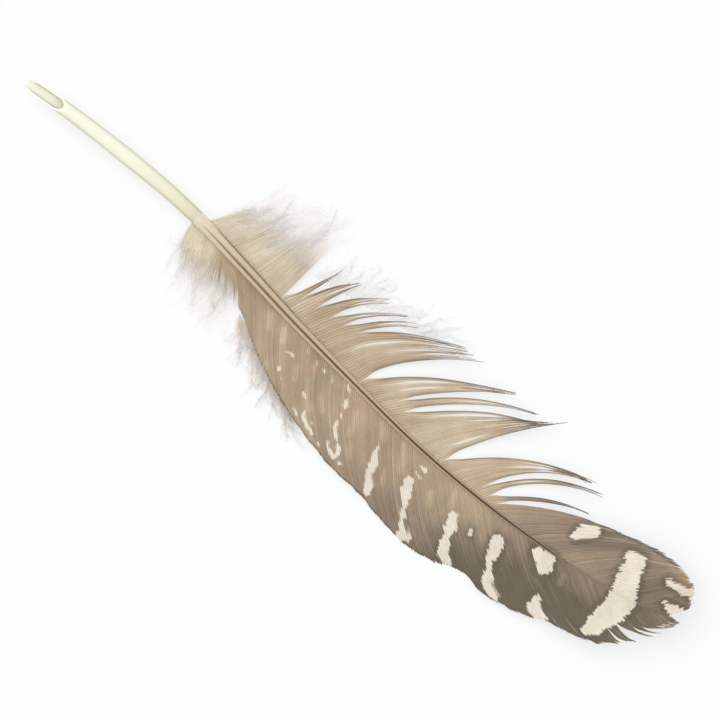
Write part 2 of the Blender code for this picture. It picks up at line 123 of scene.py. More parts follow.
def smooth(low, high, x):
    t = np.clip((np.asarray(x, float) - low) / (high - low), 0, 1)
    return t * t * (3 - 2 * t)


def unit(vectors, guard=0.0):
    return vectors / (np.linalg.norm(vectors, axis=-1, keepdims=True) + guard)


def left_of(heading):
    return np.stack([-heading[..., 1], heading[..., 0]], -1)


def run_length(path):
    """Distance run along each path, from 0 at its first point."""
    steps = np.linalg.norm(np.diff(path, axis=-2), axis=-1)
    return np.concatenate([np.zeros(steps.shape[:-1] + (1,)), np.cumsum(steps, -1)], -1)


def interp_columns(x, stations, table):
    """Interpolates every column of the table."""
    return np.stack([np.interp(x, stations, column) for column in np.transpose(table)], -1)


def seeded(name):
    return np.random.default_rng([SEED] + list(name.encode()))


def arch(x):
    """Height of the shaft's underside: it curls up at both ends."""
    x = np.asarray(x, float)
    nib = NIB_RISE * (np.clip(FLAT_FROM - x, 0, None) / FLAT_FROM) ** 2
    tip = TIP_RISE * (np.clip(x - FLAT_TO, 0, None) / (RACHIS_END - FLAT_TO)) ** 2
    return nib + tip


def shaft_y(x):
    return shaft_y_units(np.asarray(x) / UNIT) * UNIT


def shaft_normal(x):
    step = 0.2 * MM
    rise = shaft_y(x + step) - shaft_y(x - step)
    return unit(np.stack([-rise, np.full(np.shape(x), 2 * step)], -1))


def rachis_half_width(x):
    return rachis_a_mm(x / UNIT) * MM


def rachis_height(x):
    return rachis_h_mm(x / UNIT) * MM


def barrel_radius(x):
    return barrel_r_mm(x / UNIT) * MM


# the row frame's origin in the layout frame, from the one mount at layout x = 50 mm
REST_X = 0.050
rest = [m for m in frame["record"]["mounts"] if m["name"] == "rest_face"][0]["pos_m"]
ORIGIN = np.array([REST_X - rest[0], float(shaft_y(REST_X)) - rest[1], 0.0])

# ------------------------------------------------------------ vane layout
# name, first and last barb as (root station, middle, tip) in units, and the lift of each in mm
INNER_CLOSED = (
    ("inner_base_web_1", (81.5, (86, 6.5), (91, 13.5)), (94.0, (98.2, 6.5), (103, 17)), (0.60, 0.62)),
    ("inner_base_web_2", (94.4, (98.6, 6.5), (103.4, 17)), (106.5, (109.8, 6.0), (113, 18.8)), (0.62, 0.60)),
    ("inner_base_web_3", (106.9, (110.2, 6.0), (113.4, 18.8)), (118.8, (120.3, 6.0), (121.8, 20.5)), (0.60, 0.60)),
    ("inner_tip_web_1", (223.9, (239.2, -7.0), (256, 0.8)), (242.8, (258.0, -4.6), (277, 6.2)), (0.35, 0.45)),
    ("inner_tip_web_2", (243.2, (258.4, -4.6), (277.4, 6.2)), (261.8, (275.8, -1.9), (291.2, 7.0)), (0.45, 0.50)),
    ("inner_tip_web_3", (262.2, (276.2, -1.9), (291.6, 7.0)), (298.5, (300.6, -5.8), (302.6, -1.6)), (0.50, 0.40)),
)
INNER_LOCKS = (
    ("lock_01", (119.4, (124.5, 4.5), (129.8, 16.5)), (122.3, (127.0, 4.8), (130.9, 15.2)), (0.85, 0.80)),
    ("lock_02", (122.7, (129.8, 7.8), (138.0, 17.2)), (127.8, (134.0, 6.0), (139.2, 16.0)), (1.15, 1.00)),
    ("lock_03", (128.2, (137.5, 8.3), (150.0, 18.6)), (132.8, (140.8, 6.5), (151.0, 17.0)), (0.90, 0.95)),
    ("lock_04", (133.2, (143.8, 7.2), (158.5, 18.4)), (137.3, (146.2, 6.1), (159.8, 16.9)), (1.05, 0.95)),
    ("lock_05", (137.7, (149.2, 7.4), (163.0, 18.2)), (141.3, (151.6, 5.6), (165.0, 16.4)), (0.92, 0.95)),
    ("lock_06", (141.7, (156.0, 8.6), (182.0, 22.3)), (159.3, (170.0, 5.0), (191.5, 21.6)), (1.05, 1.40)),
    ("lock_07", (159.7, (178.0, 5.0), (206.5, 20.8)), (170.8, (187.0, 4.2), (207.5, 18.8)), (1.60, 1.35)),
    ("lock_08", (171.2, (192.4, 6.9), (218.0, 19.3)), (175.2, (195.6, 5.6), (217.6, 17.6)), (0.95, 0.90)),
    ("lock_09", (175.6, (199.4, 5.9), (220.6, 16.2)), (200.3, (210.5, 2.0), (227.8, 23.3)), (1.30, 2.10)),
    ("lock_10", (200.7, (223.0, 2.7), (249.6, 12.4)), (216.3, (229.6, 1.0), (247.4, 11.0)), (1.20, 1.15)),
    ("lock_11", (216.7, (232.3, 1.2), (253.8, 11.2)), (220.3, (234.2, -0.5), (254.6, 9.4)), (1.75, 1.60)),
    ("lock_12", (220.7, (237.0, -4.0), (254.0, 2.9)), (223.5, (238.8, -5.3), (254.4, 1.7)), (0.85, 0.80)),
)
INNER_ORDER = INNER_CLOSED[:3] + INNER_LOCKS + INNER_CLOSED[3:]
# narrow splits inside a web: share across it, where it opens and closes along it, opening in mm
SPLITS = {
    "lock_02": ((0.55, 0.40, 0.90, 0.10),),
    "lock_03": ((0.45, 0.45, 1.00, 0.12),),
    "lock_04": ((0.50, 0.35, 0.85, 0.10),),
    "lock_05": ((0.50, 0.50, 1.00, 0.10),),
    "lock_06": ((0.36, 0.16, 0.72, 0.13), (0.62, 0.45, 0.85, 0.08), (0.82, 0.60, 1.02, 0.12)),
    "lock_07": ((0.30, 0.22, 0.70, 0.13), (0.62, 0.18, 0.66, 0.12), (0.82, 0.50, 1.02, 0.14)),
    "lock_08": ((0.50, 0.35, 0.95, 0.08),),
    "lock_09": ((0.12, 0.20, 0.85, 0.16), (0.30, 0.40, 0.85, 0.10), (0.55, 0.50, 1.0, 0.08),
                (0.84, 0.16, 0.55, 0.13)),
    "lock_10": ((0.30, 0.45, 0.95, 0.08), (0.55, 0.35, 0.98, 0.14), (0.85, 0.25, 1.0, 0.14)),
    "lock_11": ((0.50, 0.25, 0.60, 0.08),),
    "inner_base_web_1": ((0.45, 0.45, 1.0, 0.12),),
    "inner_base_web_2": ((0.55, 0.55, 1.0, 0.06),),
    "inner_base_web_3": ((0.30, 0.50, 1.0, 0.10), (0.80, 0.55, 1.0, 0.08)),
}
# how far from the shaft, in units, neighbouring inner webs still lie edge to edge,
# from the last base web to the first tip web
TOGETHER = (3.0, 7.5, 9.5, 12.0, 13.5, 14.0, 4.5, 9.0, 7.5, 4.5, 6.0, 5.5, 5.0)
# outer barbs: root station, middle x and y, tip station on the margin, lift in mm
OUTER_BARBS = (
    (77.5, 78.0, -9.0, 81.0, 0.62),
    (100.0, 104.4, -11.6, 109.0, 0.62),
    (121.0, 129.5, -22.8, 140.0, 0.60),
    (140.0, 151.0, -28.5, 165.0, 0.50),
    (159.0, 172.0, -31.5, 187.0, 0.22),
    (177.0, 190.8, -34.0, 207.0, 0.11),
    (199.0, 214.0, -33.4, 231.5, 0.11),
    (214.0, 231.0, -33.6, 248.0, 0.11),
    (231.0, 248.0, -31.5, 266.0, 0.13),
    (248.0, 264.0, -28.5, 281.0, 0.18),
    (266.0, 280.0, -24.6, 292.5, 0.25),
    (283.0, 291.8, -18.0, 299.0, 0.32),
    (298.5, 301.2, -8.6, 302.8, 0.36),
)
# how barbs bundle: barbs in a bundle, how hard they draw together, and from which share along
BUNDLES = {
    "lock": (5, 0.50, 0.55), "base": (4, 0.03, 0.70), "closed": (7, 0.05, 0.90),
    "outer_tip": (6, 0.86, 0.56), "inner_tip": (5, 0.14, 0.90),
}
SWAY = {"closed": 0.08, "lock": 0.10, "base": 0.16}      # sideways wander in mm
OVERLAP = 1.24               # how much wider a ribbon is than its spacing
EDGE_WIDEN = 1.35            # extra width of the first and last barb of an inner closed web
barb_pitch = curve((78, 120, 200, 260, 300), (1.02, 0.98, 0.96, 0.88, 0.72))   # in units
SHARE = np.linspace(0, 1, 44) ** 0.92                    # stations along every vane barb

# ------------------------------------------------------------ plumage colours
# shades from pale to dark, as sRGB 0 to 255
SHADES = ((0.0, (216, 205, 184)), (0.2, (200, 186, 161)), (0.4, (180, 160, 133)),
          (0.6, (160, 142, 120)), (0.8, (136, 121, 104)), (1.0, (108, 97, 82)), (1.25, (84, 75, 62)))
SHADE_GAIN = 1.19            # seams between barbs and the barbule lines take this much light away
CREAM = (238, 228, 211)
NO_MARK = 60.0               # distance that stands for no mark near
# shade at places on the vane: layout x, y, shade
OUTER_SHADE = (
    (80, -10, -0.09), (90, -12, 0.3), (100, -12, 0.46), (110, -13, 0.55), (125, -18, 0.47), (128, -25, 0.39), (140, -16, 0.5),
    (150, -18, 0.65), (150, -28, 0.6), (150, -33, 0.48), (170, -20, 0.47), (170, -32, 0.6), (176, -37, 0.66), (190, -22, 0.46),
    (190, -38, 0.92), (208, -24, 0.43), (208, -38, 0.83), (222, -22, 0.4), (224, -36, 1.03), (231, -40, 1.25), (229, -30, 0.58),
    (240, -20, 0.72), (246, -31, 1.08), (250, -38, 1.12), (262, -22, 0.73), (268, -33, 1.22), (262, -30, 1.0), (271, -18, 0.69),
    (272, -30, 1.21), (274, -35, 1.05), (291, -12, 1.06), (291, -20, 0.9), (288, -28, 0.98), (300, -6, 0.62), (120, -11.5, 0.49),
    (135, -14.5, 0.44), (160, -18, 0.37), (180, -20.5, 0.64), (200, -22.5, 0.47), (215, -23.5, 0.41), (205, -31, 0.63),
    (186, -30, 0.45), (160, -25, 0.47), (140, -24, 0.58),
)
INNER_SHADE = (
    (86, 3, -0.1), (95, 6, 0.29), (105, 8, 0.0), (118, 10, 0.1), (122, -4, 0.23), (127, 12, 0.56), (140, 2, 0.58), (150, -4, 0.4),
    (165, 2, 0.18), (165, 14, 0.59), (180, -2, 0.12), (185, 10, 0.46), (197, -5, 0.19), (212, -8, 0.34), (208, 8, 0.41),
    (220, 14, 0.70), (226, -6, 0.31), (236, 4, 0.56), (234, -12, 0.69), (246, -8, 0.82), (258, -11, 0.55), (262, -14, 0.76),
    (268, 0, 0.62), (262, 2, 1.05), (270, 4, 0.95), (271, -10, 0.80), (280, 6, 0.5), (288, 3, 0.92), (290, -6, 0.87), (296, 0, 1.05),
    (296, 5, 0.35), (135, -4, 0.31), (150, -7.6, 0.3), (165, -9.2, 0.46), (180, -11.2, 0.38), (195, -12.5, 0.37), (210, -13.4, 0.33),
    (225, -13.4, 0.38), (150, 5, 0.35), (175, 6, 0.5), (195, 4, 0.29), (112, 3, 0.28), (246, -1, 0.55), (285, -1, 0.9),
)
# cream bars and spots as chains of discs: x, y, radius
MARKS = (
    ((275.6, -0.9, 2.0), (278.0, -0.2, 2.3), (279.2, 1.0, 1.5)),
    ((278.3, -1.6, 3.3), (278.9, -5.8, 3.7), (280.8, -10, 4.3), (282.6, -15, 4.9), (282.6, -19.5, 4.6), (281.3, -24, 4.0), (280.4, -28.3, 3.4), (279.0, -31.0, 1.8)),
    ((255.7, -7.0, 1.7), (256.9, -4.3, 2.6), (259.8, -1.6, 2.1)),
    ((248.9, -20.2, 2.3), (252.4, -20.6, 3.2), (253.7, -22.8, 2.8)), ((252.8, -19.0, 1.6), (254.2, -18.8, 1.3)),
    ((258.4, -33.8, 1.5), (259.5, -36.3, 2.6), (262.6, -37.5, 1.7), (265.6, -37.2, 0.8)),
    ((234.9, -26.2, 2.4), (235.8, -29.2, 2.4), (236.7, -32.3, 1.5), (238.0, -35.5, 1.2), (239.8, -38.5, 1.8), (242.2, -40.8, 2.1), (247.0, -41.8, 1.2)),
    ((216.3, -28.5, 1.5), (218.3, -32.3, 2.3), (219.3, -36, 1.3), (221.5, -41.5, 2.2), (225.5, -43.3, 1.3)),
    ((196.5, -28.5, 1.9), (197.8, -32, 2.2), (200.3, -36.5, 1.1), (203.2, -42, 1.0), (206.5, -45.3, 2.3), (208.5, -45.3, 1.4)),
    ((180.0, -25.5, 0.4), (180.3, -28.3, 1.0), (182.4, -31.8, 1.5), (183.0, -35.5, 1.3), (185.8, -39, 1.7), (186.8, -41.3, 1.2)),
    ((162.6, -28.0, 0.5), (163.8, -30.3, 0.6), (165.6, -31.9, 0.8), (166.6, -33.0, 0.5)),
    ((164.2, -35.2, 0.6), (165.6, -36.9, 0.7), (168.0, -38.2, 0.8), (169.6, -38.4, 0.8)),
    ((168.2, -34.4, 0.7), (169.4, -35.4, 0.8), (169.9, -37.2, 0.7), (169.8, -38.5, 0.6)),
    ((172.4, -39.2, 0.8), (173.2, -39.0, 0.4)), ((161.6, -38.2, 0.4), (162.6, -38.7, 0.3)),
    ((151.0, -32.0, 0.4), (152.2, -34.0, 0.7), (155.0, -35.7, 0.6), (158.0, -36.7, 0.7)),
    ((147.0, -33.5, 0.3), (149.5, -34.9, 0.4)), ((155.4, -33.2, 0.2), (156.0, -34.0, 0.3)),
    ((147.6, -15.9, 0.7), (148.2, -16.3, 0.7)), ((151.0, -14.8, 0.3), (152.8, -17.6, 0.3)),
    ((157.0, -14.6, 0.5), (158.2, -15.5, 0.7), (159.6, -16.7, 0.3)), ((160.3, -18.6, 0.2), (161.5, -21.0, 0.9), (162.2, -21.8, 0.5)),
    ((143.4, -14.9, 0.2), (145.0, -17.0, 0.25)), ((137.5, -14.1, 0.2), (139.8, -14.4, 0.25)),
    ((132.9, -19.0, 0.4), (134.6, -18.6, 0.6), (135.8, -19.2, 0.3)), ((134.0, -25.4, 0.6), (134.8, -26.0, 0.6)),
    ((136.6, -27.6, 0.3), (137.3, -28.4, 0.3)), ((146.8, -27.0, 0.3), (148.8, -28.2, 0.35)), ((162.0, -24.6, 0.2), (163.0, -26.0, 0.2)),
    ((196, -21.5, 0.3), (198.5, -22.3, 0.7)), ((195.8, -24, 0.3), (199, -25.5, 0.7)),
    ((225, -28, 0.5), (225.4, -30, 0.5)), ((178.6, -24.0, 0.2), (179.2, -25.2, 0.3)),
    ((291.6, 0.4, 1.2), (296.5, 1.2, 1.4), (301.5, 2.2, 1.7)), ((295.4, -6.6, 1.0), (298.0, -6.5, 1.9), (301.0, -6.2, 2.4)),
)
# faint pale flecks and streaks that only lighten the web, as the same chains
FAINT = (
    ((144.5, -18, .5), (147, -24, .7), (149, -28, .6), (152, -30, .5)), ((129.6, -27, .4), (130.4, -29, .4)),
    ((166, -21, .5), (168, -25, .6), (169, -29, .5)), ((176, -18, .4), (179, -22, .5)), ((187, -20, .4), (190, -25, .6), (192, -28, .4)),
    ((85, -9, .6), (86.5, -13, .7)), ((104.6, 4, .5), (107.6, 9.5, .7)), ((96, 5, .4), (98, 10, .4)), ((261.2, -21, .35), (261.4, -24, .3)),
    ((212, -22, .4), (214, -26, .5)), ((205, -27, .4), (207, -31, .4)), ((152, -24, .3), (156, -28, .4)), ((139, -21, .4), (141, -25, .4)),
    ((120, -12, .3), (122, -16, .4)), ((127, -13, .3), (129, -17, .3)), ((171, -31, .4), (174, -35, .4)), ((187, -31, .3), (189, -35, .3)),
)


def linear(srgb):
    srgb = np.asarray(srgb, float) / 255
    return np.where(srgb <= 0.04045, srgb / 12.92, ((srgb + 0.055) / 1.055) ** 2.4)


def mix(first, second, share):
    return first * (1 - share) + second * share


def shade_colour(shade):
    stations, colours = zip(*SHADES)
    return SHADE_GAIN * interp_columns(shade, stations, linear(colours))


def shade_at(x, y, table, reach=7.5):
    """The table's shades blended by nearness, over about the reach in units."""
    total, weights = 0.0, 1e-9
    for at_x, at_y, shade in table:
        square = (x - at_x) ** 2 + (y - at_y) ** 2
        weight = np.exp(-(square / (2 * reach**2))) + 1e-7 / (1 + square)
        total, weights = total + weight * shade, weights + weight
    return total / weights


def mark_distance(x, y, marks=MARKS):
    """Distance in units to the nearest mark, negative inside it."""
    best = np.full(np.shape(x), NO_MARK)
    for chain in marks:
        for (x0, y0, r0), (x1, y1, r1) in zip(chain, chain[1:]):
            run_x, run_y = x1 - x0, y1 - y0
            t = ((x - x0) * run_x + (y - y0) * run_y) / (run_x * run_x + run_y * run_y)
            t = np.clip(t, 0, 1)
            away = np.hypot(x - x0 - t * run_x, y - y0 - t * run_y) - (r0 + (r1 - r0) * t)
            best = np.minimum(best, away)
    return best


# ------------------------------------------------------------ meshes from arrays
def add_attribute(mesh, name, values):
    """A point attribute: a vector where values has three columns, else a float."""
    values = np.asarray(values, np.float32)
    kind, field = ("FLOAT_VECTOR", "vector") if values.ndim == 2 else ("FLOAT", "value")
    mesh.attributes.new(name, kind, "POINT").data.foreach_set(field, values.ravel())


class Body:
    """Collects closed ribbons and strands, then makes one mesh with its paint as attributes."""

    def __init__(self):
        self.co = []
        self.paint = {"tint": [], "grain": [], "mark": [], "ridge": []}
        self.loops, self.sizes, self.uv = [], [], []
        self.count = 0

    def add(self, co, tint, grain, mark, ridge, faces):
        """faces: pairs of (F, n) vertex indices and (F, n, 2) UVs."""
        self.co.append(co.reshape(-1, 3))
        self.paint["tint"].append(tint.reshape(-1, 3))
        self.paint["grain"].append(grain.reshape(-1, 3))
        self.paint["mark"].append(mark.reshape(-1))
        self.paint["ridge"].append(ridge.reshape(-1))
        for indices, uvs in faces:
            self.loops.append((indices + self.count).reshape(-1))
            self.sizes.append(np.full(len(indices), indices.shape[1]))
            self.uv.append(uvs.reshape(-1, 2))
        self.count += len(self.co[-1])

    def mesh(self, name):
        co = np.concatenate(self.co) - ORIGIN
        loops, sizes = np.concatenate(self.loops), np.concatenate(self.sizes)
        starts = np.concatenate([[0], np.cumsum(sizes)[:-1]])
        mesh = bpy.data.meshes.new(name)
        mesh.vertices.add(len(co))
        mesh.vertices.foreach_set("co", co.astype(np.float32).ravel())
        mesh.loops.add(len(loops))
        mesh.loops.foreach_set("vertex_index", loops.astype(np.int32))
        mesh.polygons.add(len(sizes))
        mesh.polygons.foreach_set("loop_start", starts.astype(np.int32))
        mesh.update(calc_edges=True)
        for attribute, parts in self.paint.items():
            add_attribute(mesh, attribute, np.concatenate(parts))
        uvs = np.concatenate(self.uv).astype(np.float32).ravel()
        mesh.uv_layers.new(name="OFBake").data.foreach_set("uv", uvs)
        mesh.shade_smooth()
        mesh.set_sharp_from_angle(angle=math.radians(62))
        return mesh


def tube_faces(count, stations, ring, uv_at, swap, cap_out=0.0):
    """Side quads and end caps of many closed tubes, swap turning the faces over."""
    corners = ((0, 0), (0, 1), (1, 1), (1, 0)) if swap else ((0, 0), (1, 0), (1, 1), (0, 1))
    tube, station, side = np.meshgrid(
        np.arange(count), np.arange(stations - 1), np.arange(ring), indexing="ij")
    quads = [(tube * stations + station + i) * ring + (side + k) % ring for i, k in corners]
    quad_uvs = [uv_at(tube, station + i, side + k) for i, k in corners]
    faces = [(np.stack(quads, -1).reshape(-1, 4), np.stack(quad_uvs, -2).reshape(-1, 4, 2))]
    tube = np.arange(count)[:, None]
    forward = np.arange(ring)[None, :]
    backward = forward[:, ::-1]
    start, end = (backward, forward) if swap else (forward, backward)
    for station, around, out in ((0, start, -cap_out), (stations - 1, end, cap_out)):
        indices = (tube * stations + station) * ring + around
        faces.append((indices, uv_at(tube, station, around) + np.array([out, 0.0])))
    return faces


RING = 8
RIBBON_THICKNESS = 0.022 * MM
RIBBON_UV_TOP, LOOSE_UV_FROM = 0.78, 0.80


def ribbons(body, path, normal, width, ramus, crest, tilt, tint, mark, along, ids):
    """Closed thin blades: path (n, K, 3), plan normal (n, K, 2), half width and ramus radius
    (n, K), crest height (K)."""
    count, stations = width.shape
    width = np.maximum(width, 1.25 * ramus)
    crest = crest[None, :] + 0 * width
    drop = 0.07 * width
    thick = np.minimum(RIBBON_THICKNESS, 0.5 * width)
    lean = tilt * width
    shoulder = -0.1 * drop + 0.15 * crest
    across = np.stack([-width, -ramus, 0 * width, ramus, width,
                       0.97 * width, 0 * width, -0.97 * width], -1)
    up = np.stack([-drop - lean, shoulder, crest, shoulder, -drop + lean,
                   -drop + lean - thick, -thick - 0.35 * ramus, -drop - lean - thick], -1)
    shape = (count, stations, RING)
    co = np.empty(shape + (3,))
    co[..., :2] = path[:, :, None, :2] + normal[:, :, None, :] * across[..., None]
    co[..., 2] = np.maximum(path[:, :, None, 2] + up, 0.012 * MM)
    grain = np.empty(shape + (3,))
    grain[..., 0] = along[:, :, None]
    grain[..., 1] = across / MM
    grain[..., 2] = ids[:, None, None]

    def uv_at(tube, station, side):
        u = 0.004 + 0.992 * station / (stations - 1)
        v = RIBBON_UV_TOP * (tube + 0.05 + 0.9 * side / RING) / count
        return np.stack(np.broadcast_arrays(u, v), -1)

    body.add(co, np.broadcast_to(tint[:, :, None, :], shape + (3,)), grain,
             np.broadcast_to(mark[:, :, None], shape),
             # ridge: 0 at a ribbon's edges and 1 on its crest; the feather material paints shade in the seams from it
             np.broadcast_to(np.array([0, .55, 1, .55, 0, 0, .6, 0]), shape),
             tube_faces(count, stations, RING, uv_at, swap=False, cap_out=0.001))


def strands(body, path, radius, tint, mark, along, ids, uv_from, uv_to):
    """Closed tapering three-sided threads: path (n, M, 3), radius (M)."""
    count, stations = path.shape[:2]
    heading = unit(np.gradient(path, axis=1), 1e-12)
    aside = unit(np.cross(heading, np.array([0.0, 0.0, 1.0])), 1e-9)
    up = np.cross(aside, heading)
    angles = np.radians([90, 210, 330])[None, None, :, None]
    co = path[:, :, None, :] + radius[None, :, None, None] * (
        np.cos(angles) * aside[:, :, None, :] + np.sin(angles) * up[:, :, None, :])
    co[..., 2] = np.maximum(co[..., 2], 0.006 * MM)
    shape = (count, stations, 3)
    grain = np.zeros(shape + (3,))
    grain[..., 0] = along[:, :, None]
    grain[..., 2] = ids[:, None, None]
    columns = int(math.ceil(math.sqrt(count * (uv_to - uv_from) / 4)))
    rows = int(math.ceil(count / columns))

    def uv_at(tube, station, side):
        u = (tube % columns + 0.06 + 0.88 * station / (stations - 1)) / columns
        v = uv_from + (uv_to - uv_from) * (tube // columns + 0.1 + 0.8 * side / 3) / rows
        return np.stack(np.broadcast_arrays(u, v), -1)

    body.add(co, np.broadcast_to(tint[:, :, None, :], shape + (3,)), grain,
             np.broadcast_to(mark[:, :, None], shape), np.full(shape, 0.5),
             tube_faces(count, stations, 3, uv_at, swap=True))


# ------------------------------------------------------------ barb families
# a family gives root (n), middle and tip (n, 2) in units and lift (n) in mm at shares across it
def barb_line(side, root, middle, tip, lift, t):
    """Plan path, heading, normal and height along barbs at shares t (n, K)."""
    x = root * UNIT
    out = side * (rachis_half_width(x) - 0.05 * MM)
    start = np.stack([x, shaft_y(x)], -1) + shaft_normal(x) * out[:, None]
    end = tip * UNIT
    control = 2 * (middle * UNIT) - (start + end) / 2
    s = t[..., None]
    path = start[:, None] * (1 - s) ** 2 + control[:, None] * (2 * s * (1 - s)) + end[:, None] * s**2
    heading = unit(2 * (1 - s) * (control - start)[:, None] + 2 * s * (end - control)[:, None])
    low = 0.10 * MM + 0.28 * rachis_height(x)
    rise = (lift * MM - low)[:, None] * np.clip(t, 0, 1.2) ** 2
    return path, heading, left_of(heading), arch(path[..., 0]) + low[:, None] + rise


def between(first, last, lift, margin=None):
    """The family from the first barb to the last, its tips moved onto the margin if given."""
    def at(across):
        root, middle, tip, lifts = (
            np.asarray(a, float) + np.multiply.outer(across, np.subtract(b, a))
            for a, b in zip((*first, lift[0]), (*last, lift[1])))
        if margin is not None:
            tip[:, 1] = margin(tip[:, 0])
        return root, middle, tip, lifts
    return at


knots = np.arange(len(OUTER_BARBS))
outer_root, outer_mid_x, outer_mid_y, outer_tip_x, outer_lift = (
    curve(knots, column) for column in zip(*OUTER_BARBS))


def outer_family(lap):
    def at(across):
        knot = np.clip(lap + across, 0, len(OUTER_BARBS) - 1)
        tip_x = outer_tip_x(knot)
        return (outer_root(knot), np.stack([outer_mid_x(knot), outer_mid_y(knot)], -1),
                np.stack([tip_x, outer_margin(tip_x)], -1), np.maximum(outer_lift(knot), 0.11))
    return at


def edge_line(row, which):
    """One long edge of an inner web: distance from the shaft and plan position."""
    family = between(*row[1:])(np.array([float(which)]))
    path = barb_line(INNER, *family, np.linspace(0, 1, 80)[None, :])[0][0]
    return run_length(path), path


def closing_moves(name):
    """Moves of a lock's first and last barb, by distance from the shaft, that close it up to
    its neighbours near the shaft and clear them further out."""
    i = [row[0] for row in INNER_ORDER].index(name)
    distance = np.linspace(0, 42, 200) * UNIT
    moves = []
    for own, neighbour, far in ((0, INNER_ORDER[i - 1], TOGETHER[i - 3]),
                                (1, INNER_ORDER[i + 1], TOGETHER[i - 2])):
        own_run, own_path = edge_line(INNER_ORDER[i], own)
        edge = interp_columns(distance, own_run, own_path)
        apart = interp_columns(distance, *edge_line(neighbour, 1 - own)) - edge
        length = np.linalg.norm(apart, axis=-1, keepdims=True) + 1e-9
        share = 0.5 if neighbour[0].startswith("lock") else 1.0
        hold = 1 - smooth(far - 3.5, far + 2.5, distance / UNIT)
        move = share * apart * np.clip(1 - 0.02 * MM / length, 0, 1) * hold[:, None]
        normal = left_of(unit(np.gradient(edge, axis=0), 1e-12))
        normal = normal * (1.0 if (apart * normal).sum(-1)[20] > 0 else -1.0)
        clear = (0.28 * UNIT * smooth(far, far + 5, distance / UNIT)
                 * (1 - 0.5 * smooth(0.7, 1.0, distance / own_run[-1])))
        move = move - normal * clear[:, None]
        last = np.searchsorted(distance, own_run[-1]) - 1
        moves.append(np.where((distance > own_run[-1])[:, None], move[last], move))
    return distance, moves, (TOGETHER[i - 3], TOGETHER[i - 2])


def wiggle(ids, t, scale, seed):
    """A smooth wiggle per id along t."""
    first = np.sin(ids[:, None] * 12.9898 + seed) * 43758.5453
    second = np.sin(ids[:, None] * 78.233 + seed * 1.7) * 12345.678
    first, second = (first - np.floor(first)) * 6.283, (second - np.floor(second)) * 6.283
    return 0.6 * np.sin(scale * t + first) + 0.4 * np.sin(2.3 * scale * t + second)


def bundles(rng, count, size):
    """Splits neighbouring barbs into bundles of about the given size: each barb's bundle and
    its offset from the middle."""
    group, made, i = np.zeros(count, int), 0, 0
    while i < count:
        take = int(rng.integers(max(1, size - 2), size + 3))
        group[i:i + take] = made
        i, made = i + take, made + 1
    index = np.arange(count)
    middle = np.array([index[group == k].mean() for k in range(made)])
    return group, index - middle[group]


# ------------------------------------------------------------ barbules
def barbules(rng, at, along, path, heading, tint, mark, barb_id, angle, sizes, vary):
    """Barbules of one barb at distances along it, one row of arrays for each side.
    angle: mean and spread in degrees; sizes in mm, varied by a factor in the range vary."""
    start = interp_columns(at, along, path)
    forward = unit(interp_columns(at, along, heading))
    colour, marks = interp_columns(at, along, tint), np.interp(at, along, mark)
    rows = []
    for sign in (-1, 1):
        turn = sign * np.radians(rng.normal(*angle, len(at)))
        outward = forward * np.cos(turn)[:, None] + left_of(forward) * np.sin(turn)[:, None]
        lengths = sizes * rng.uniform(*vary, len(at)) * MM
        rows.append((start, outward, forward, colour, marks, lengths,
                     barb_id + rng.random(len(at))))
    return rows


def bent(start, outward, forward, length, bend, share):
    """Plan paths that leave outward and bend forward."""
    u = share[None, :, None]
    return start[:, None, :2] + length[:, None, None] * (
        outward[:, None] * u + bend * (forward - outward)[:, None] * u**2)


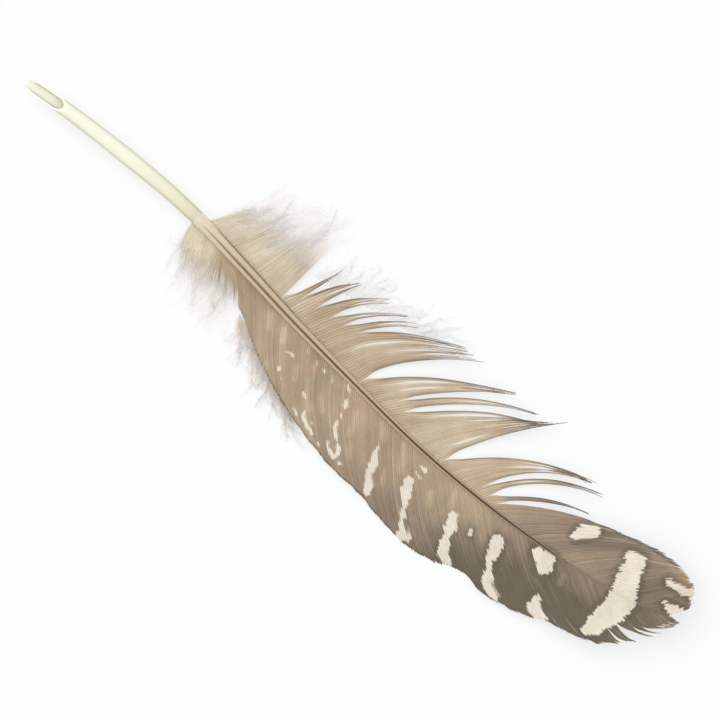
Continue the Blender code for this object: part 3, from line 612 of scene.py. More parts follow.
# ------------------------------------------------------------ webs
class Web:
    """The barbs of one web, lap or lock: arrays hold barbs in rows, stations in columns.
    The steps draw from one random stream, so their order matters."""

    def __init__(self, name, side, family, table, kind):
        self.name, self.side, self.family = name, side, family
        self.table, self.kind = table, kind
        self.lock = kind == "lock"
        self.rng = seeded(name)
        ends = family(np.array([0.0, 1.0]))[0]
        self.centre = ends.mean()
        # the soft barbs at the vane's foot stand closer together
        self.fine = (0.78 if side > 0 else 0.64) if kind == "base" else 1.0
        pitch = float(barb_pitch(self.centre)) * self.fine
        self.count = max(3, int(round(abs(ends[1] - ends[0]) / pitch)))
        self.across = (np.arange(self.count) + 0.5) / self.count
        self.root, self.middle, self.tip, self.lift = family(self.across)
        self.ids = self.root * 3.7 + (1000 if side > 0 else 0)
        self.tip_zone = smooth(258, 278, self.root)
        self.outer_tip = side < 0 and self.tip_zone.mean() > 0.2
        inner_tip = side > 0 and kind == "closed" and self.centre > 250
        reach = 1.0 + self.rng.normal(0, 0.0035, self.count)
        style = "outer_tip" if self.outer_tip else "inner_tip" if inner_tip else kind
        self.size, self.pull, self.begin = BUNDLES[style]
        group, self.off_mid = bundles(self.rng, self.count, self.size)
        self.by_group = self.rng.normal(0, 1, group.max() + 1)[group]
        self.t = SHARE[None, :] * self.ragged(reach)[:, None]

    def ragged(self, reach):
        """How far each barb reaches: crisp on closed webs, ragged at loose ends."""
        rng, count, root, tip_x = self.rng, self.count, self.root, self.tip[:, 0]
        if self.side < 0:
            reach += self.tip_zone * (0.075 * np.clip(self.by_group, -1.5, 1.6)
                                      + rng.uniform(-0.05, 0.03, count))
            reach += 0.006 * np.sin(root * 0.9) * (root < 255)
            reach -= 0.05 * smooth(284, 289, tip_x) * (1 - smooth(298, 301, tip_x))
        elif self.kind == "closed":
            reach += rng.uniform(-0.01, 0.025, count)
        if self.kind == "base":
            reach += rng.uniform(-0.20, 0.12, count)
        if self.lock:
            reach = rng.uniform(0.84, 1.0, count)
            reach[0] = reach[-1] = 1.0
            if count > 6:
                reach[[1, -2]] = rng.uniform(0.93, 1.0, 2)
        return reach

    def lay_out(self):
        """Paths of the barbs and the gap between neighbours."""
        self.path, self.heading, self.normal, self.height = barb_line(
            self.side, self.root, self.middle, self.tip, self.lift, self.t)
        half = 0.5 / self.count
        before, after = (barb_line(self.side, *self.family(self.across + step), self.t)[0]
                         for step in (-half, half))
        gap = ((after - before) * self.normal).sum(-1)
        self.order = 1.0 if gap.sum() > 0 else -1.0
        if self.lock:
            distance, moves, far = closing_moves(self.name)
            run = run_length(self.path)
            first, last = (interp_columns(run, distance, move) for move in moves)
            across = self.across[:, None, None]
            self.path = self.path + first * (1 - across) + last * across
            gap = gap + ((last - first) * self.normal).sum(-1) / self.count
            # where the first and last barb come free of the neighbouring webs
            self.free = [smooth(reach - 1, reach + 5, run / UNIT) for reach in far]
            self.edge_from = [float(np.interp(reach + 1.5, run[barb] / UNIT, SHARE))
                              for reach, barb in zip(far, (0, -1))]
        self.gap = np.abs(gap)

    def set_widths(self):
        """Half widths; free ends narrow to the bare ramus."""
        width = np.clip(0.5 * self.gap * OVERLAP, 0.035 * MM, 0.42 * MM)
        if self.lock:
            width[[0, -1]] /= OVERLAP
        elif self.side > 0:
            width[[0, -1]] *= EDGE_WIDEN
            # a web next to a moving lock stops at their common edge
            if self.name == "inner_base_web_3":
                width[-1] /= OVERLAP * EDGE_WIDEN
            if self.name == "inner_tip_web_1":
                width[0] /= OVERLAP * EDGE_WIDEN
        if self.lock:
            taper = 1 - 0.80 * smooth(0.62, 1.0, SHARE)
        elif self.kind == "base":
            taper = 1 - 0.93 * smooth(0.56 if self.side > 0 else 0.70, 1.0, SHARE)
        else:
            end = (0.975 - 0.17 * self.tip_zone)[:, None] if self.side < 0 else 0.955
            taper = 1 - 0.70 * np.clip((SHARE[None, :] - end) / (1.0001 - end), 0, 1) ** 1.3
        self.width = width * taper

    def sway(self):
        """Sideways wander of each barb, bundles drawing together, and the splits."""
        rng, count, root = self.rng, self.count, self.root[:, None]
        wander = (0.6 * np.sin(root * 0.55 + 1.7 * np.sin(root * 0.13) + 2.2 * SHARE)
                  + 0.4 * np.sin(root * 0.33 + 4.0 - 3.1 * SHARE))
        shift = (SWAY[self.kind] * MM * wander
                 + 0.022 * MM * wiggle(self.ids, SHARE[None, :], 3.0, 1.0)) * SHARE**1.5
        draw = self.pull * smooth(self.begin, 1.0, SHARE)[None, :]
        if self.outer_tip:
            draw = draw * np.maximum(self.tip_zone, 0.15)[:, None]
        shift = shift - self.order * self.off_mid[:, None] * self.gap * draw
        self.width = self.width * (1 - 0.55 * draw)
        if self.side < 0:
            fray = self.tip_zone * (0.05 * rng.normal(0, 1, count) + 0.16 * self.by_group)
            shift = shift + fray[:, None] * MM * SHARE**4
        if self.lock:
            shift = shift + rng.normal(0, 0.10, count)[:, None] * MM * SHARE**5
        for place, opens, closes, opening in SPLITS.get(self.name, ()):
            if closes < 0.99:
                bump = np.sin(np.pi * np.clip((SHARE - opens) / (closes - opens), 0, 1))
            else:
                bump = smooth(opens, closes, SHARE)
            apart = self.across - place
            away = np.sign(apart)[:, None] * np.exp(-np.abs(apart) / 0.16)[:, None]
            shift = shift + self.order * away * bump * opening * MM
            near = np.exp(-np.abs(apart) * count / 1.2)[:, None] * bump
            self.width = self.width * (1 - 0.55 * near)
        self.path = self.path + self.normal * shift[..., None]

    def raise_up(self):
        """Gentle billows of the web and a little loft in loose ends."""
        rng, count, root = self.rng, self.count, self.root[:, None]
        billow = (0.05 * MM * (np.sin(root * 0.21 + 1.0) + np.sin(root * 0.11 + SHARE * 4.0))
                  * smooth(0.1, 0.6, SHARE))
        z = self.height + np.abs(billow) + rng.normal(0, 0.006, count)[:, None] * MM
        z = z + 0.02 * np.abs(self.by_group)[:, None] * MM * smooth(0.1, 0.8, SHARE)
        if self.side < 0:
            z = z + 0.06 * MM * self.across[:, None] * smooth(0.05, 0.3, SHARE)
            z = z + (self.tip_zone * rng.uniform(0, 0.5, count))[:, None] * MM * SHARE**4
        if self.lock:
            z = z + rng.normal(0, 0.05, count)[:, None] * MM * smooth(0.3, 1.0, SHARE)
            z = z + 0.05 * MM * np.sin(np.arange(count) * 2.4)[:, None] * smooth(0.5, 0.9, SHARE)
        self.height = z

    def sweep(self):
        """Barb ends of closed webs turn along the margin; those at the outer tip sweep on."""
        if self.kind == "closed":
            margin = outer_margin if self.side < 0 else inner_margin
            x, step = self.tip[:, 0], 0.4
            run = unit(np.stack([np.ones(self.count), (margin(x + step) - margin(x)) / step], -1))
            run *= (1 - (self.tip_zone if self.side < 0 else smooth(285, 292, x)))[:, None]
            turn = 1.15 * UNIT * smooth(0.90, 1.0, SHARE) ** 1.5
            self.path = self.path + run[:, None, :] * turn[None, :, None]
        if self.outer_tip:
            far = self.tip_zone * smooth(300, 290, self.root) * (1.5 + np.abs(self.by_group))
            far = far[:, None] * UNIT * SHARE**5
            self.path = self.path + far[..., None] * np.array([0.9, 1.0])

    def shades(self, x, y):
        """Shade of the web, and distance to the cream marks."""
        rng, count, side, across = self.rng, self.count, self.side, self.across
        root, size, share = self.root, self.size, SHARE[None, :]
        shade = shade_at(x, y, self.table)
        shade += rng.normal(0, 0.032, count)[:, None] + 0.02 * wiggle(self.ids, share, 14.0, 5.0)
        # soft tone bands from bundles of barbs: a random tone for each bundle, plus painted light and shade for bundles
        # that lie a little differently, each bundle darker on one side than the other
        lie_shade_bands = 0.5 * np.sin(root * 0.83 + 1.3 * np.sin(root * 0.31)) + 0.5 * np.sin(root * 0.47 + 2.0)
        shade += 0.02 * self.by_group[:, None] + 0.03 * (self.off_mid / size)[:, None] * side
        shade += (0.065 * lie_shade_bands[:, None] * (0.4 + 0.6 * np.sin(SHARE * 5.0 + root[:, None] * 0.2))
                  * (0.3 + 0.7 * smooth(0, 0.2, SHARE)))
        mark = (mark_distance(x, y)
                + rng.normal(0, 0.30, count)[:, None] * smooth(1.0, 2.0, np.abs(x - 150) / 30)
                + 0.30 * wiggle(self.ids, share, 9.0, 9.0))
        # a darker halo round the marks, and the faint flecks
        halo = np.exp(-((np.clip(mark, 0, None) - 0.6) / 1.2) ** 2)
        shade += 0.20 * halo * smooth(205, 240, x)
        faint = mark_distance(x, y, FAINT) + 0.25 * wiggle(self.ids, share, 11.0, 4.0)
        shade -= 0.16 * np.exp(-(np.clip(faint, 0, None) / 0.8) ** 2)
        # darker rims
        if side < 0:
            shade += (0.55 * smooth(0.96, 0.99, share) * smooth(112, 128, x)
                      * (1 - smooth(284, 292, x)))
        elif self.kind == "closed":
            shade += ((0.30 + 0.25 * smooth(252, 262, x)) * smooth(0.90, 0.97, share)
                      * (1 - smooth(286, 293, x)))
        if self.lock:
            # painted shade along each lock's free edges; the lock also darkens towards its tip
            index = np.arange(count)
            edge = (0.8 * np.exp(-index[::-1] / 0.7)[:, None] * self.free[1]
                    + np.exp(-index / 0.6)[:, None] * self.free[0])
            shade += 0.42 * edge + 0.34 * smooth(0.66, 1.0, share)
            # painted light: barbs beside each split are made paler, so the slit reads brighter
            for place, opens, closes, _ in SPLITS.get(self.name, ()):
                near = np.exp(-np.abs(across - place) * count / 0.9)[:, None]
                shade -= (0.22 * near * smooth(opens - 0.12, opens + 0.05, share)
                          * (1 - smooth(closes, closes + 0.1, share)))
        return shade, mark

    def paint(self):
        x, y = self.path[..., 0] / UNIT, self.path[..., 1] / UNIT
        shade, mark = self.shades(x, y)
        tint = shade_colour(np.clip(shade, 0, 1.05))
        if self.kind == "base":
            # pale downy ends
            start, end = (0.42, 0.92) if self.side > 0 else (0.50, 0.97)
            pale = smooth(start, end, SHARE)[None, :, None]
            tint = mix(tint, linear((241, 234, 228)), 0.84 * pale)
        if self.side > 0 and self.centre > 255:
            # warm patches along the inner margin near the tip
            warm = (np.exp(-(((x - 295.5) / 5) ** 2 + ((y - 4.6) / 2.2) ** 2))
                    + 0.5 * np.exp(-(((x - 281) / 7) ** 2 + ((y - 5.5) / 1.6) ** 2)))
            tint = mix(tint, linear((186, 150, 104)), 0.6 * np.clip(warm[..., None], 0, 1))
        if self.side < 0:
            # reddish blotches on the middle of the outer vane
            blotch = 0.5 + 0.5 * (np.sin(x * 0.55 + 1.4 * np.sin(y * 0.5) + 0.8)
                                  * np.sin(y * 0.42 + 0.3 * np.sin(x * 0.37)))
            red = smooth(0.45, 0.9, blotch) * smooth(130, 146, x) * (1 - smooth(196, 214, x))
            tint = tint * (1 + red[..., None] * np.array([0.015, -0.03, -0.06]))
        return tint, mark

    def barbule_spacing(self, barb):
        """Where a barb's free barbules start (share), their pitch and size in mm."""
        if self.lock:
            if barb in (0, self.count - 1):
                return self.edge_from[0 if barb == 0 else 1], 0.10, 0.20
            return 0.72, 0.10, 0.26
        if self.kind == "base":
            return 0.55, 0.100 if self.side > 0 else 0.110, 0.85
        if self.side < 0 and self.tip_zone[barb] > 0.3:
            return 0.80, 0.10, 0.24
        return 0.95, 0.07, 0.15

    def free_barbules(self, body, path, tint, mark, along):
        """Barbules standing free along loose ends."""
        rng, rows = self.rng, []
        base = self.kind == "base"
        for barb in range(self.count):
            share, pitch, size = self.barbule_spacing(barb)
            begin, end = np.interp(share, SHARE, along[barb]), along[barb, -1]
            number = int((end - begin) / pitch)
            if number < 1:
                continue
            at = begin + (np.arange(number) + rng.random(number)) * (end - begin) / number
            fade = 1 - 0.45 * (at - begin) / (end - begin)
            rows += barbules(rng, at, along[barb], path[barb], self.heading[barb], tint[barb],
                             mark[barb], self.ids[barb], angle=(46 if base else 38, 8),
                             sizes=size * fade, vary=(0.6, 1.15))
        start, outward, forward, colour, marks, length, ids = map(np.concatenate, zip(*rows))
        share = np.linspace(0, 1, 4)
        plan = bent(start, outward, forward, length, 0.35, share)
        rise = rng.normal(0.02, 0.10, len(start))[:, None] * length[:, None] * share**1.5
        threads = np.concatenate([plan, (start[:, None, 2] + rise)[..., None]], -1)
        radius = (0.0075 if base else 0.0105) * (1 - 0.6 * share) * MM
        strands(body, threads, radius, colour[:, None], marks[:, None],
                share * length[:, None] / MM, ids, LOOSE_UV_FROM, 1.0)

    def mesh(self):
        self.lay_out()
        self.set_widths()
        length = np.hypot(self.tip[:, 0] - self.root, self.tip[:, 1] - shaft_y_units(self.root))
        ramus = ((0.046 - 0.028 * SHARE)[None, :] * MM
                 * np.clip(length / 26, 0.6, 1.1)[:, None] * self.fine**0.5)
        crest = (0.055 - 0.037 * SHARE) * MM * self.fine
        self.sway()
        self.raise_up()
        self.sweep()
        tint, mark = self.paint()
        path = np.concatenate([self.path, self.height[..., None]], -1)
        along = run_length(self.path) / MM
        body = Body()
        ribbons(body, path, self.normal, self.width, ramus, crest, 0.10 * self.side,
                tint, mark, along, self.ids)
        self.free_barbules(body, path, tint, mark, along)
        return body.mesh(self.name)


# ------------------------------------------------------------ down
# name, side, first and last barb, share where each begins, outward bulge in units, barbs,
# barbule length in mm, colour, loft (mm, how late), barbule rise
DOWN_PADS = (
    ("down_inner_tuft", INNER, (84.0, (88.0, 11.0), (93.5, 21.5)), (117.5, (119.5, 13.0), (122.5, 30.5)),
     0.14, 3.0, 58, 1.05, (252, 247, 244), (1.0, 1.3), 0.24),
    ("down_inner_fringe", INNER, (118.4, (123.5, 9.5), (126.5, 22.0)), (158.0, (172.0, 17.0), (181.0, 24.6)),
     0.44, 1.0, 70, 0.72, (254, 253, 252), (0.35, 7.0), 0.05),
    ("down_outer_tuft", OUTER, (79.0, (77.8, -12.0), (79.0, -21.0)), (100.0, (104.5, -16.0), (110.0, -29.0)),
     0.14, 3.0, 60, 1.00, (254, 247, 242), (1.0, 1.3), 0.24),
    ("down_outer_fringe", OUTER, (104.5, (111.0, -19.5), (115.0, -29.0)), (140.0, (148.0, -34.5), (156.5, -42.0)),
     0.46, 1.0, 116, 0.90, (244, 235, 231), (0.5, 2.0), 0.20),
)
DOWN_BARBULE_PITCH = 0.078   # mm


def down(name, side, first, last, begin, bulge, count, size, paint, loft, rise):
    """A pad of loose downy barbs: thin rami that curl, each with long soft barbules."""
    rng = seeded(name)
    body = Body()
    fluffy = rise > 0.1
    across = (np.arange(count) + rng.uniform(0.1, 0.9, count)) / count
    root, middle, tip, lift = between(first, last, (0.3, 0.3))(across)
    tip = tip + np.stack([rng.normal(0, 2.4, count), side * rng.uniform(-6.5, 2.6, count)], -1)
    share = np.linspace(0, 1, 16)
    t = begin + (1 - begin) * share[None, :] * np.ones((count, 1))
    plan, heading, normal, _ = barb_line(side, root, middle, tip, lift, t)
    plan[..., 1] += side * bulge * UNIT * 4 * (across * (1 - across))[:, None] * share
    ids = root * 5.1 + 7
    curl = rng.normal(0, 1, count)[:, None] * share**3
    wander = (wiggle(ids, share[None, :], 6.0, 3.0) * 0.38 + 1.05 * curl) * MM * share
    plan = plan + normal * wander[..., None]
    lofted = rng.uniform(0.05, 1.0, count)[:, None] * loft[0] * MM * share ** loft[1]
    z = 0.04 * MM + rng.uniform(0.0, 0.16 if fluffy else 0.06, count)[:, None] * MM + lofted
    path = np.concatenate([plan, z[..., None]], -1)
    near = linear((236, 225, 208) if fluffy else (248, 244, 238))
    away = rng.random(count)[:, None, None] * 0.3 + smooth(0.1, 0.6, share)[None, :, None]
    tint = mix(near, linear(paint), np.clip(away, 0, 1))
    tint = tint * rng.uniform(0.90, 1.06, count)[:, None, None]
    wisp = (rng.random(count) < 0.12)[:, None, None] * smooth(0.4, 0.7, share)[None, :, None]
    tint = tint * (1 - (0.55 if fluffy else 0.42) * wisp)
    no_mark = np.full((count, len(share)), NO_MARK)
    along = run_length(plan) / MM
    strands(body, path, (0.014 - 0.009 * share) * MM, tint, no_mark, along, ids, 0.0, 0.2)
    rows = []
    for barb in range(count):
        total = along[barb, -1]
        number = int(total / DOWN_BARBULE_PITCH)
        at = (np.arange(number) + rng.random(number)) * total / number
        rows += barbules(rng, at, along[barb], path[barb], heading[barb], tint[barb],
                         no_mark[barb], ids[barb], angle=(50, 15),
                         sizes=size * (1 - 0.5 * (at / total) ** 2), vary=(0.45, 1.25))
    start, outward, forward, colour, marks, length, ids = map(np.concatenate, zip(*rows))
    share = np.linspace(0, 1, 3)
    bend = rng.uniform(0.1, 0.6, len(start))[:, None, None]
    plan = bent(start, outward, forward, length, bend, share)
    kink = rng.normal(0, 0.06, (len(start), 1, 2)) * length[:, None, None]
    plan = plan + kink * np.sin(share * 5.0)[None, :, None]
    z = start[:, None, 2] + (rng.normal(0.3 * rise, rise, len(start))[:, None]
                             * length[:, None] * share**1.4)
    threads = np.concatenate([plan, np.maximum(z, 0.02 * MM)[..., None]], -1)
    strands(body, threads, (0.0062 - 0.0034 * share) * MM, colour[:, None], marks[:, None],
            share * length[:, None] / MM, ids, 0.22, 1.0)
    return body.mesh(name)


# ------------------------------------------------------------ shader helpers
def feed(tree, node, inputs):
    """Links or sets a node's inputs."""
    for key, value in inputs.items():
        socket = node.inputs[key]
        if isinstance(value, bpy.types.NodeSocket):
            tree.links.new(value, socket)
        elif socket.type == "RGBA":
            socket.default_value = (*(float(channel) for channel in value), 1)
        else:
            socket.default_value = value


def add_node(tree, kind, inputs=None, **props):
    node = tree.nodes.new(kind)
    for key, value in props.items():
        setattr(node, key, value)
    feed(tree, node, inputs or {})
    return node


def new_material(name):
    material = bpy.data.materials.new(name)
    material.use_nodes = True
    tree = material.node_tree
    tree.nodes.clear()
    out = add_node(tree, "ShaderNodeOutputMaterial")
    bsdf = add_node(tree, "ShaderNodeBsdfPrincipled")
    feed(tree, out, {"Surface": bsdf.outputs[0]})
    return material, tree, bsdf, out


def attribute(tree, name, output):
    return add_node(tree, "ShaderNodeAttribute", attribute_name=name).outputs[output]


def calculate(tree, operation, *values, clamp=False):
    return add_node(tree, "ShaderNodeMath", dict(enumerate(values)),
                    operation=operation, use_clamp=clamp).outputs[0]


def mix_colour(tree, share, first, second, blend="MIX"):
    return add_node(tree, "ShaderNodeMix", data_type="RGBA", blend_type=blend, clamp_factor=True,
                    inputs={0: share, 6: first, 7: second}).outputs[2]


def remap(tree, value, source, target, mode="LINEAR"):
    """Maps the source range to the target range, clamped."""
    return add_node(tree, "ShaderNodeMapRange", dict(enumerate((value, *source, *target))),
                    interpolation_type=mode, clamp=True).outputs[0]


def noise(tree, vector, scale, detail):
    return add_node(tree, "ShaderNodeTexNoise",
                    {"Scale": scale, "Detail": detail, "Vector": vector}).outputs[0]


def scaled(tree, colour, gain):
    return add_node(tree, "ShaderNodeVectorMath", operation="SCALE",
                    inputs={0: colour, "Scale": gain}).outputs[0]


def bump(tree, height, strength, distance):
    return add_node(tree, "ShaderNodeBump", {"Strength": strength, "Distance": distance,
                                             "Height": height}).outputs[0]


def object_place(tree):
    return add_node(tree, "ShaderNodeTexCoord").outputs["Object"]


def see_through(tree, bsdf, out, share, colour):
    """Lets a share of the light straight through."""
    clear = add_node(tree, "ShaderNodeBsdfTransparent", {0: colour})
    both = add_node(tree, "ShaderNodeMixShader",
                    {0: share, 1: bsdf.outputs[0], 2: clear.outputs[0]})
    feed(tree, out, {"Surface": both.outputs[0]})


# ------------------------------------------------------------ materials
BARBULE_LINE_PITCH = 0.062   # mm
BARBULE_SLANT = 1.15         # run along the barb for each mm away from its ramus
BARB_ROUGHNESS = 0.58


def feather_material(name, seam_shade):
    material, tree, bsdf, _ = new_material(name)
    tint = attribute(tree, "tint", "Color")
    grain = attribute(tree, "grain", "Vector")
    mark, ridge = attribute(tree, "mark", "Fac"), attribute(tree, "ridge", "Fac")
    along, across, barb = add_node(tree, "ShaderNodeSeparateXYZ", {0: grain}).outputs
    # streaks that run along each barb
    stretched = add_node(tree, "ShaderNodeCombineXYZ", {
        0: calculate(tree, "MULTIPLY", along, 0.55),
        1: calculate(tree, "MULTIPLY", across, 7.0),
        2: barb})
    fibres = noise(tree, stretched.outputs[0], scale=2.2, detail=4.0)
    streaks = remap(tree, fibres, (0.25, 0.75), (0.9, 1.1))
    # barbules as fine slanting lines either side of the ramus: painted shade between the barbules, with the same wave
    # used as bumps
    aside = calculate(tree, "ABSOLUTE", across)
    slant = calculate(tree, "MULTIPLY", aside, BARBULE_SLANT)
    phase = calculate(tree, "SUBTRACT", along, slant)
    turns = calculate(tree, "MULTIPLY", phase, 2 * math.pi / BARBULE_LINE_PITCH)
    wave = calculate(tree, "SINE", turns)
    lines = remap(tree, wave, (-1, 1), (0.88, 1.07))
    # cream marks with a crisp edge that steps from barb to barb
    grit = remap(tree, fibres, (0.2, 0.8), (-0.35, 0.35))
    rough_edge = calculate(tree, "ADD", mark, grit)
    mask = remap(tree, rough_edge, (0.26, -0.26), (0.0, 1.0), "SMOOTHSTEP")
    base = mix_colour(tree, mask, tint, linear(CREAM))
    # painted shade darkens the seams between barbs, read from the ribbons' ridge attribute; the crests over the rami
    # come out paler
    depth = remap(tree, ridge, (0.0, 0.9), (1 - seam_shade, 1.06))
    gain = calculate(tree, "MULTIPLY", calculate(tree, "MULTIPLY", streaks, lines), depth)
    mottle = noise(tree, object_place(tree), scale=420.0, detail=3.0)
    gain = calculate(tree, "MULTIPLY", gain, remap(tree, mottle, (0.3, 0.7), (0.93, 1.07)))
    feed(tree, bsdf, {
        "Base Color": scaled(tree, base, gain),
        "Roughness": remap(tree, fibres, (0.3, 0.7), (BARB_ROUGHNESS - 0.08, BARB_ROUGHNESS + 0.08)),
        "Specular IOR Level": 0.32,
        "Sheen Weight": 0.10,
        "Sheen Roughness": 0.5,
        "Normal": bump(tree, wave, strength=0.35, distance=0.00002)})
    return material


def down_material(name):
    material, tree, bsdf, out = new_material(name)
    tint, grain = attribute(tree, "tint", "Color"), attribute(tree, "grain", "Vector")
    patches = noise(tree, grain, scale=1.6, detail=3.0)
    gain = remap(tree, patches, (0.3, 0.7), (0.88, 1.12))
    feed(tree, bsdf, {"Base Color": scaled(tree, tint, gain), "Roughness": 0.85,
                      "Specular IOR Level": 0.15})
    see_through(tree, bsdf, out, share=0.56, colour=(1, 1, 1))
    return material


def keratin_material(name, deep, edge_on_shade_colour, rough, grainy, edge_on_shade, edge_on_shade_range, clear=0.0):
    """Horny keratin: faint lengthwise fibres, with painted shade where the surface is seen edge on."""
    material, tree, bsdf, out = new_material(name)
    stretched = add_node(tree, "ShaderNodeMapping", {
        "Scale": (0.25, 9.0, 9.0), "Vector": attribute(tree, "lay", "Vector")})
    grain = noise(tree, stretched.outputs[0], scale=1.4, detail=5.0)
    fibres = remap(tree, grain, (0.3, 0.7), (0.0, 1.0))
    tint = attribute(tree, "tint", "Color")
    colour = mix_colour(tree, calculate(tree, "MULTIPLY", fibres, grainy), tint, deep, "MULTIPLY")
    # painted shade: the colour darkens towards the edge-on shade colour where the surface turns away from the view
    facing = add_node(tree, "ShaderNodeLayerWeight", {"Blend": 0.35}).outputs["Facing"]
    edge = remap(tree, facing, edge_on_shade_range, (0.0, edge_on_shade), "SMOOTHSTEP")
    feed(tree, bsdf, {
        "Base Color": mix_colour(tree, edge, colour, edge_on_shade_colour, "MULTIPLY"),
        "Roughness": remap(tree, grain, (0.3, 0.7), (rough - 0.06, rough + 0.10)),
        "Specular IOR Level": 0.5,
        "IOR": 1.54,
        "Coat Weight": 0.15,
        "Coat Roughness": 0.25,
        "Normal": bump(tree, grain, strength=0.25, distance=0.00003)})
    if clear:
        see_through(tree, bsdf, out, clear, colour=(0.97, 0.96, 0.88))
    return material


def fibrous_material(name, pale, deep, scale, rough):
    """Pith and membranes: a soft cellular solid, coloured by its place in the frame."""
    material, tree, bsdf, _ = new_material(name)
    place = object_place(tree)
    cells = add_node(tree, "ShaderNodeTexVoronoi",
                     {"Scale": scale, "Vector": place}).outputs["Distance"]
    clouds = noise(tree, place, scale=scale * 0.4, detail=4.0)
    cell_shade = remap(tree, cells, (0.0, 0.7), (0.0, 0.5))
    share = calculate(tree, "ADD", cell_shade, calculate(tree, "MULTIPLY", clouds, 0.5), clamp=True)
    feed(tree, bsdf, {"Base Color": mix_colour(tree, share, pale, deep), "Roughness": rough,
                      "Normal": bump(tree, cells, strength=0.4, distance=0.00005)})
    return material


# ------------------------------------------------------------ shaft and barrel
# colours against stations in units, as sRGB 0 to 255
RIDGE_TINT = (
    (78, 88, 100, 120, 160, 220, 250, 275, 300),
    ((224, 218, 194), (214, 202, 176), (206, 188, 158), (200, 180, 149), (192, 172, 143),
     (182, 162, 134), (160, 142, 120), (136, 120, 102), (124, 110, 92)))
# painted shade: the dark brown of the groove's shadow line, also used for the second thin line and the darkened flanks
GROOVE_SHADE_AND_LINE_TINT = (
    (78, 83, 92, 105, 125, 160, 220, 250, 262, 278, 300),
    ((230, 224, 202), (190, 170, 130), (130, 104, 62), (104, 78, 40), (92, 66, 32), (88, 63, 31),
     (84, 64, 38), (88, 68, 46), (138, 116, 92), (138, 120, 100), (126, 112, 96)))
BARREL_TINT = (
    (0, 12, 45, 66, 78),
    ((250, 250, 233), (251, 251, 235), (250, 251, 229), (240, 239, 211), (223, 217, 189)))
# stations in units, and half width of the groove's painted shadow, a dark brown line, as a share of the half width
LINE_WIDTH = ((80, 100, 130, 160, 200, 230, 252, 264, 300),
              (0.10, 0.13, 0.16, 0.21, 0.36, 0.50, 0.54, 0.42, 0.40))
# stations in units, and the painted groove shadow's place across the shaft as the same share
LINE_PLACE = ((80, 120, 150, 180, 300), (-0.20, -0.17, -0.10, 0.0, 0.0))
BARREL_SIDES = 72


def tint_along(x, table):
    return interp_columns(x, table[0], linear(table[1]))


def plain_mesh(name, co, faces):
    mesh = bpy.data.meshes.new(name)
    mesh.from_pydata([tuple(point) for point in (np.asarray(co).reshape(-1, 3) - ORIGIN)], [], faces)
    mesh.update()
    mesh.shade_smooth()
    return mesh


def loft_faces(rings, sides, start=True, end=True, shift=0, flip=False):
    faces = []
    for i in range(rings - 1):
        for k in range(sides):
            a, b = shift + i * sides + k, shift + i * sides + (k + 1) % sides
            faces.append((a, b, b + sides, a + sides))
    if start:
        faces.append(tuple(shift + k for k in reversed(range(sides))))
    if end:
        faces.append(tuple(shift + (rings - 1) * sides + k for k in range(sides)))
    return [tuple(reversed(face)) for face in faces] if flip else faces


def place(x, across, up):
    normal = shaft_normal(x)
    return np.stack([x + normal[..., 0] * across, shaft_y(x) + normal[..., 1] * across,
                     arch(x) + up], -1)


def section(x, inset, sides):
    """The rachis's section at stations x: points, place across as a share of the half width,
    and sine of the angle round the section."""
    x = x[:, None]
    point = 1 - 0.80 * smooth(295.5 * UNIT, RACHIS_END, x)
    half = rachis_half_width(x) * point - inset
    full = rachis_height(x) * point
    height = full - 2 * inset
    # from a round start to a squarer, flat-bottomed, grooved section
    power = 1.0 - 0.28 * smooth(26.5 * MM, 33 * MM, x)
    flat = 0.05 * smooth(26.5 * MM, 30 * MM, x)
    groove = np.minimum(GROOVE_SHARE * full, 0.8 * height) * smooth(28 * MM, 35 * MM, x)
    angles = 2 * np.pi * np.arange(sides)[None, :] / sides
    cosine, sine = np.cos(angles), np.sin(angles)
    across = half * np.sign(cosine) * np.abs(cosine) ** power
    up = 0.5 + 0.5 * np.sign(sine) * np.abs(sine) ** power
    up = height * (np.maximum(up, flat) - flat) / (1 - flat)
    offset = 0.16 * (1 - smooth(120 * UNIT, 180 * UNIT, x))
    up = up - groove * np.exp(-(((across / half + offset) / 0.24) ** 2)) * (sine > 0)
    co = place(np.broadcast_to(x, across.shape), across, inset + up)
    return co, across / half, sine


def rachis_tint(x, across, sine):
    # painted shade: a dark brown shadow line down the groove on the upper face
    groove = tint_along(x, GROOVE_SHADE_AND_LINE_TINT)
    offset = (across - np.interp(x, *LINE_PLACE)) / np.interp(x, *LINE_WIDTH)
    line = np.clip(1.35 * np.exp(-(offset ** 2)) * (sine > 0), 0, 1)[..., None]
    tint = mix(tint_along(x, RIDGE_TINT), groove, line)
    # the shaft's inner edge carries a second thin brown line near the base
    second = smooth(83, 88, x) * (1 - smooth(112, 150, x))
    line = np.exp(-(((across - 0.90) / 0.13) ** 2)) * (sine > -0.5) * second * 0.85
    # painted shade darkens both sides of the shaft near its base, where it drops to the barbs
    flank_shade = smooth(0.86, 1.0, np.abs(across)) * 0.16 * (1 - smooth(105, 145, x))
    tint = mix(tint, groove, np.clip(line + flank_shade, 0, 1)[..., None])
    # the cream bar near the tip runs across the shaft
    bar = (smooth(277.0, 278.4, x) * (1 - smooth(286.4, 287.6, x)))[..., None] * 0.86
    return mix(tint, linear(CREAM), bar)


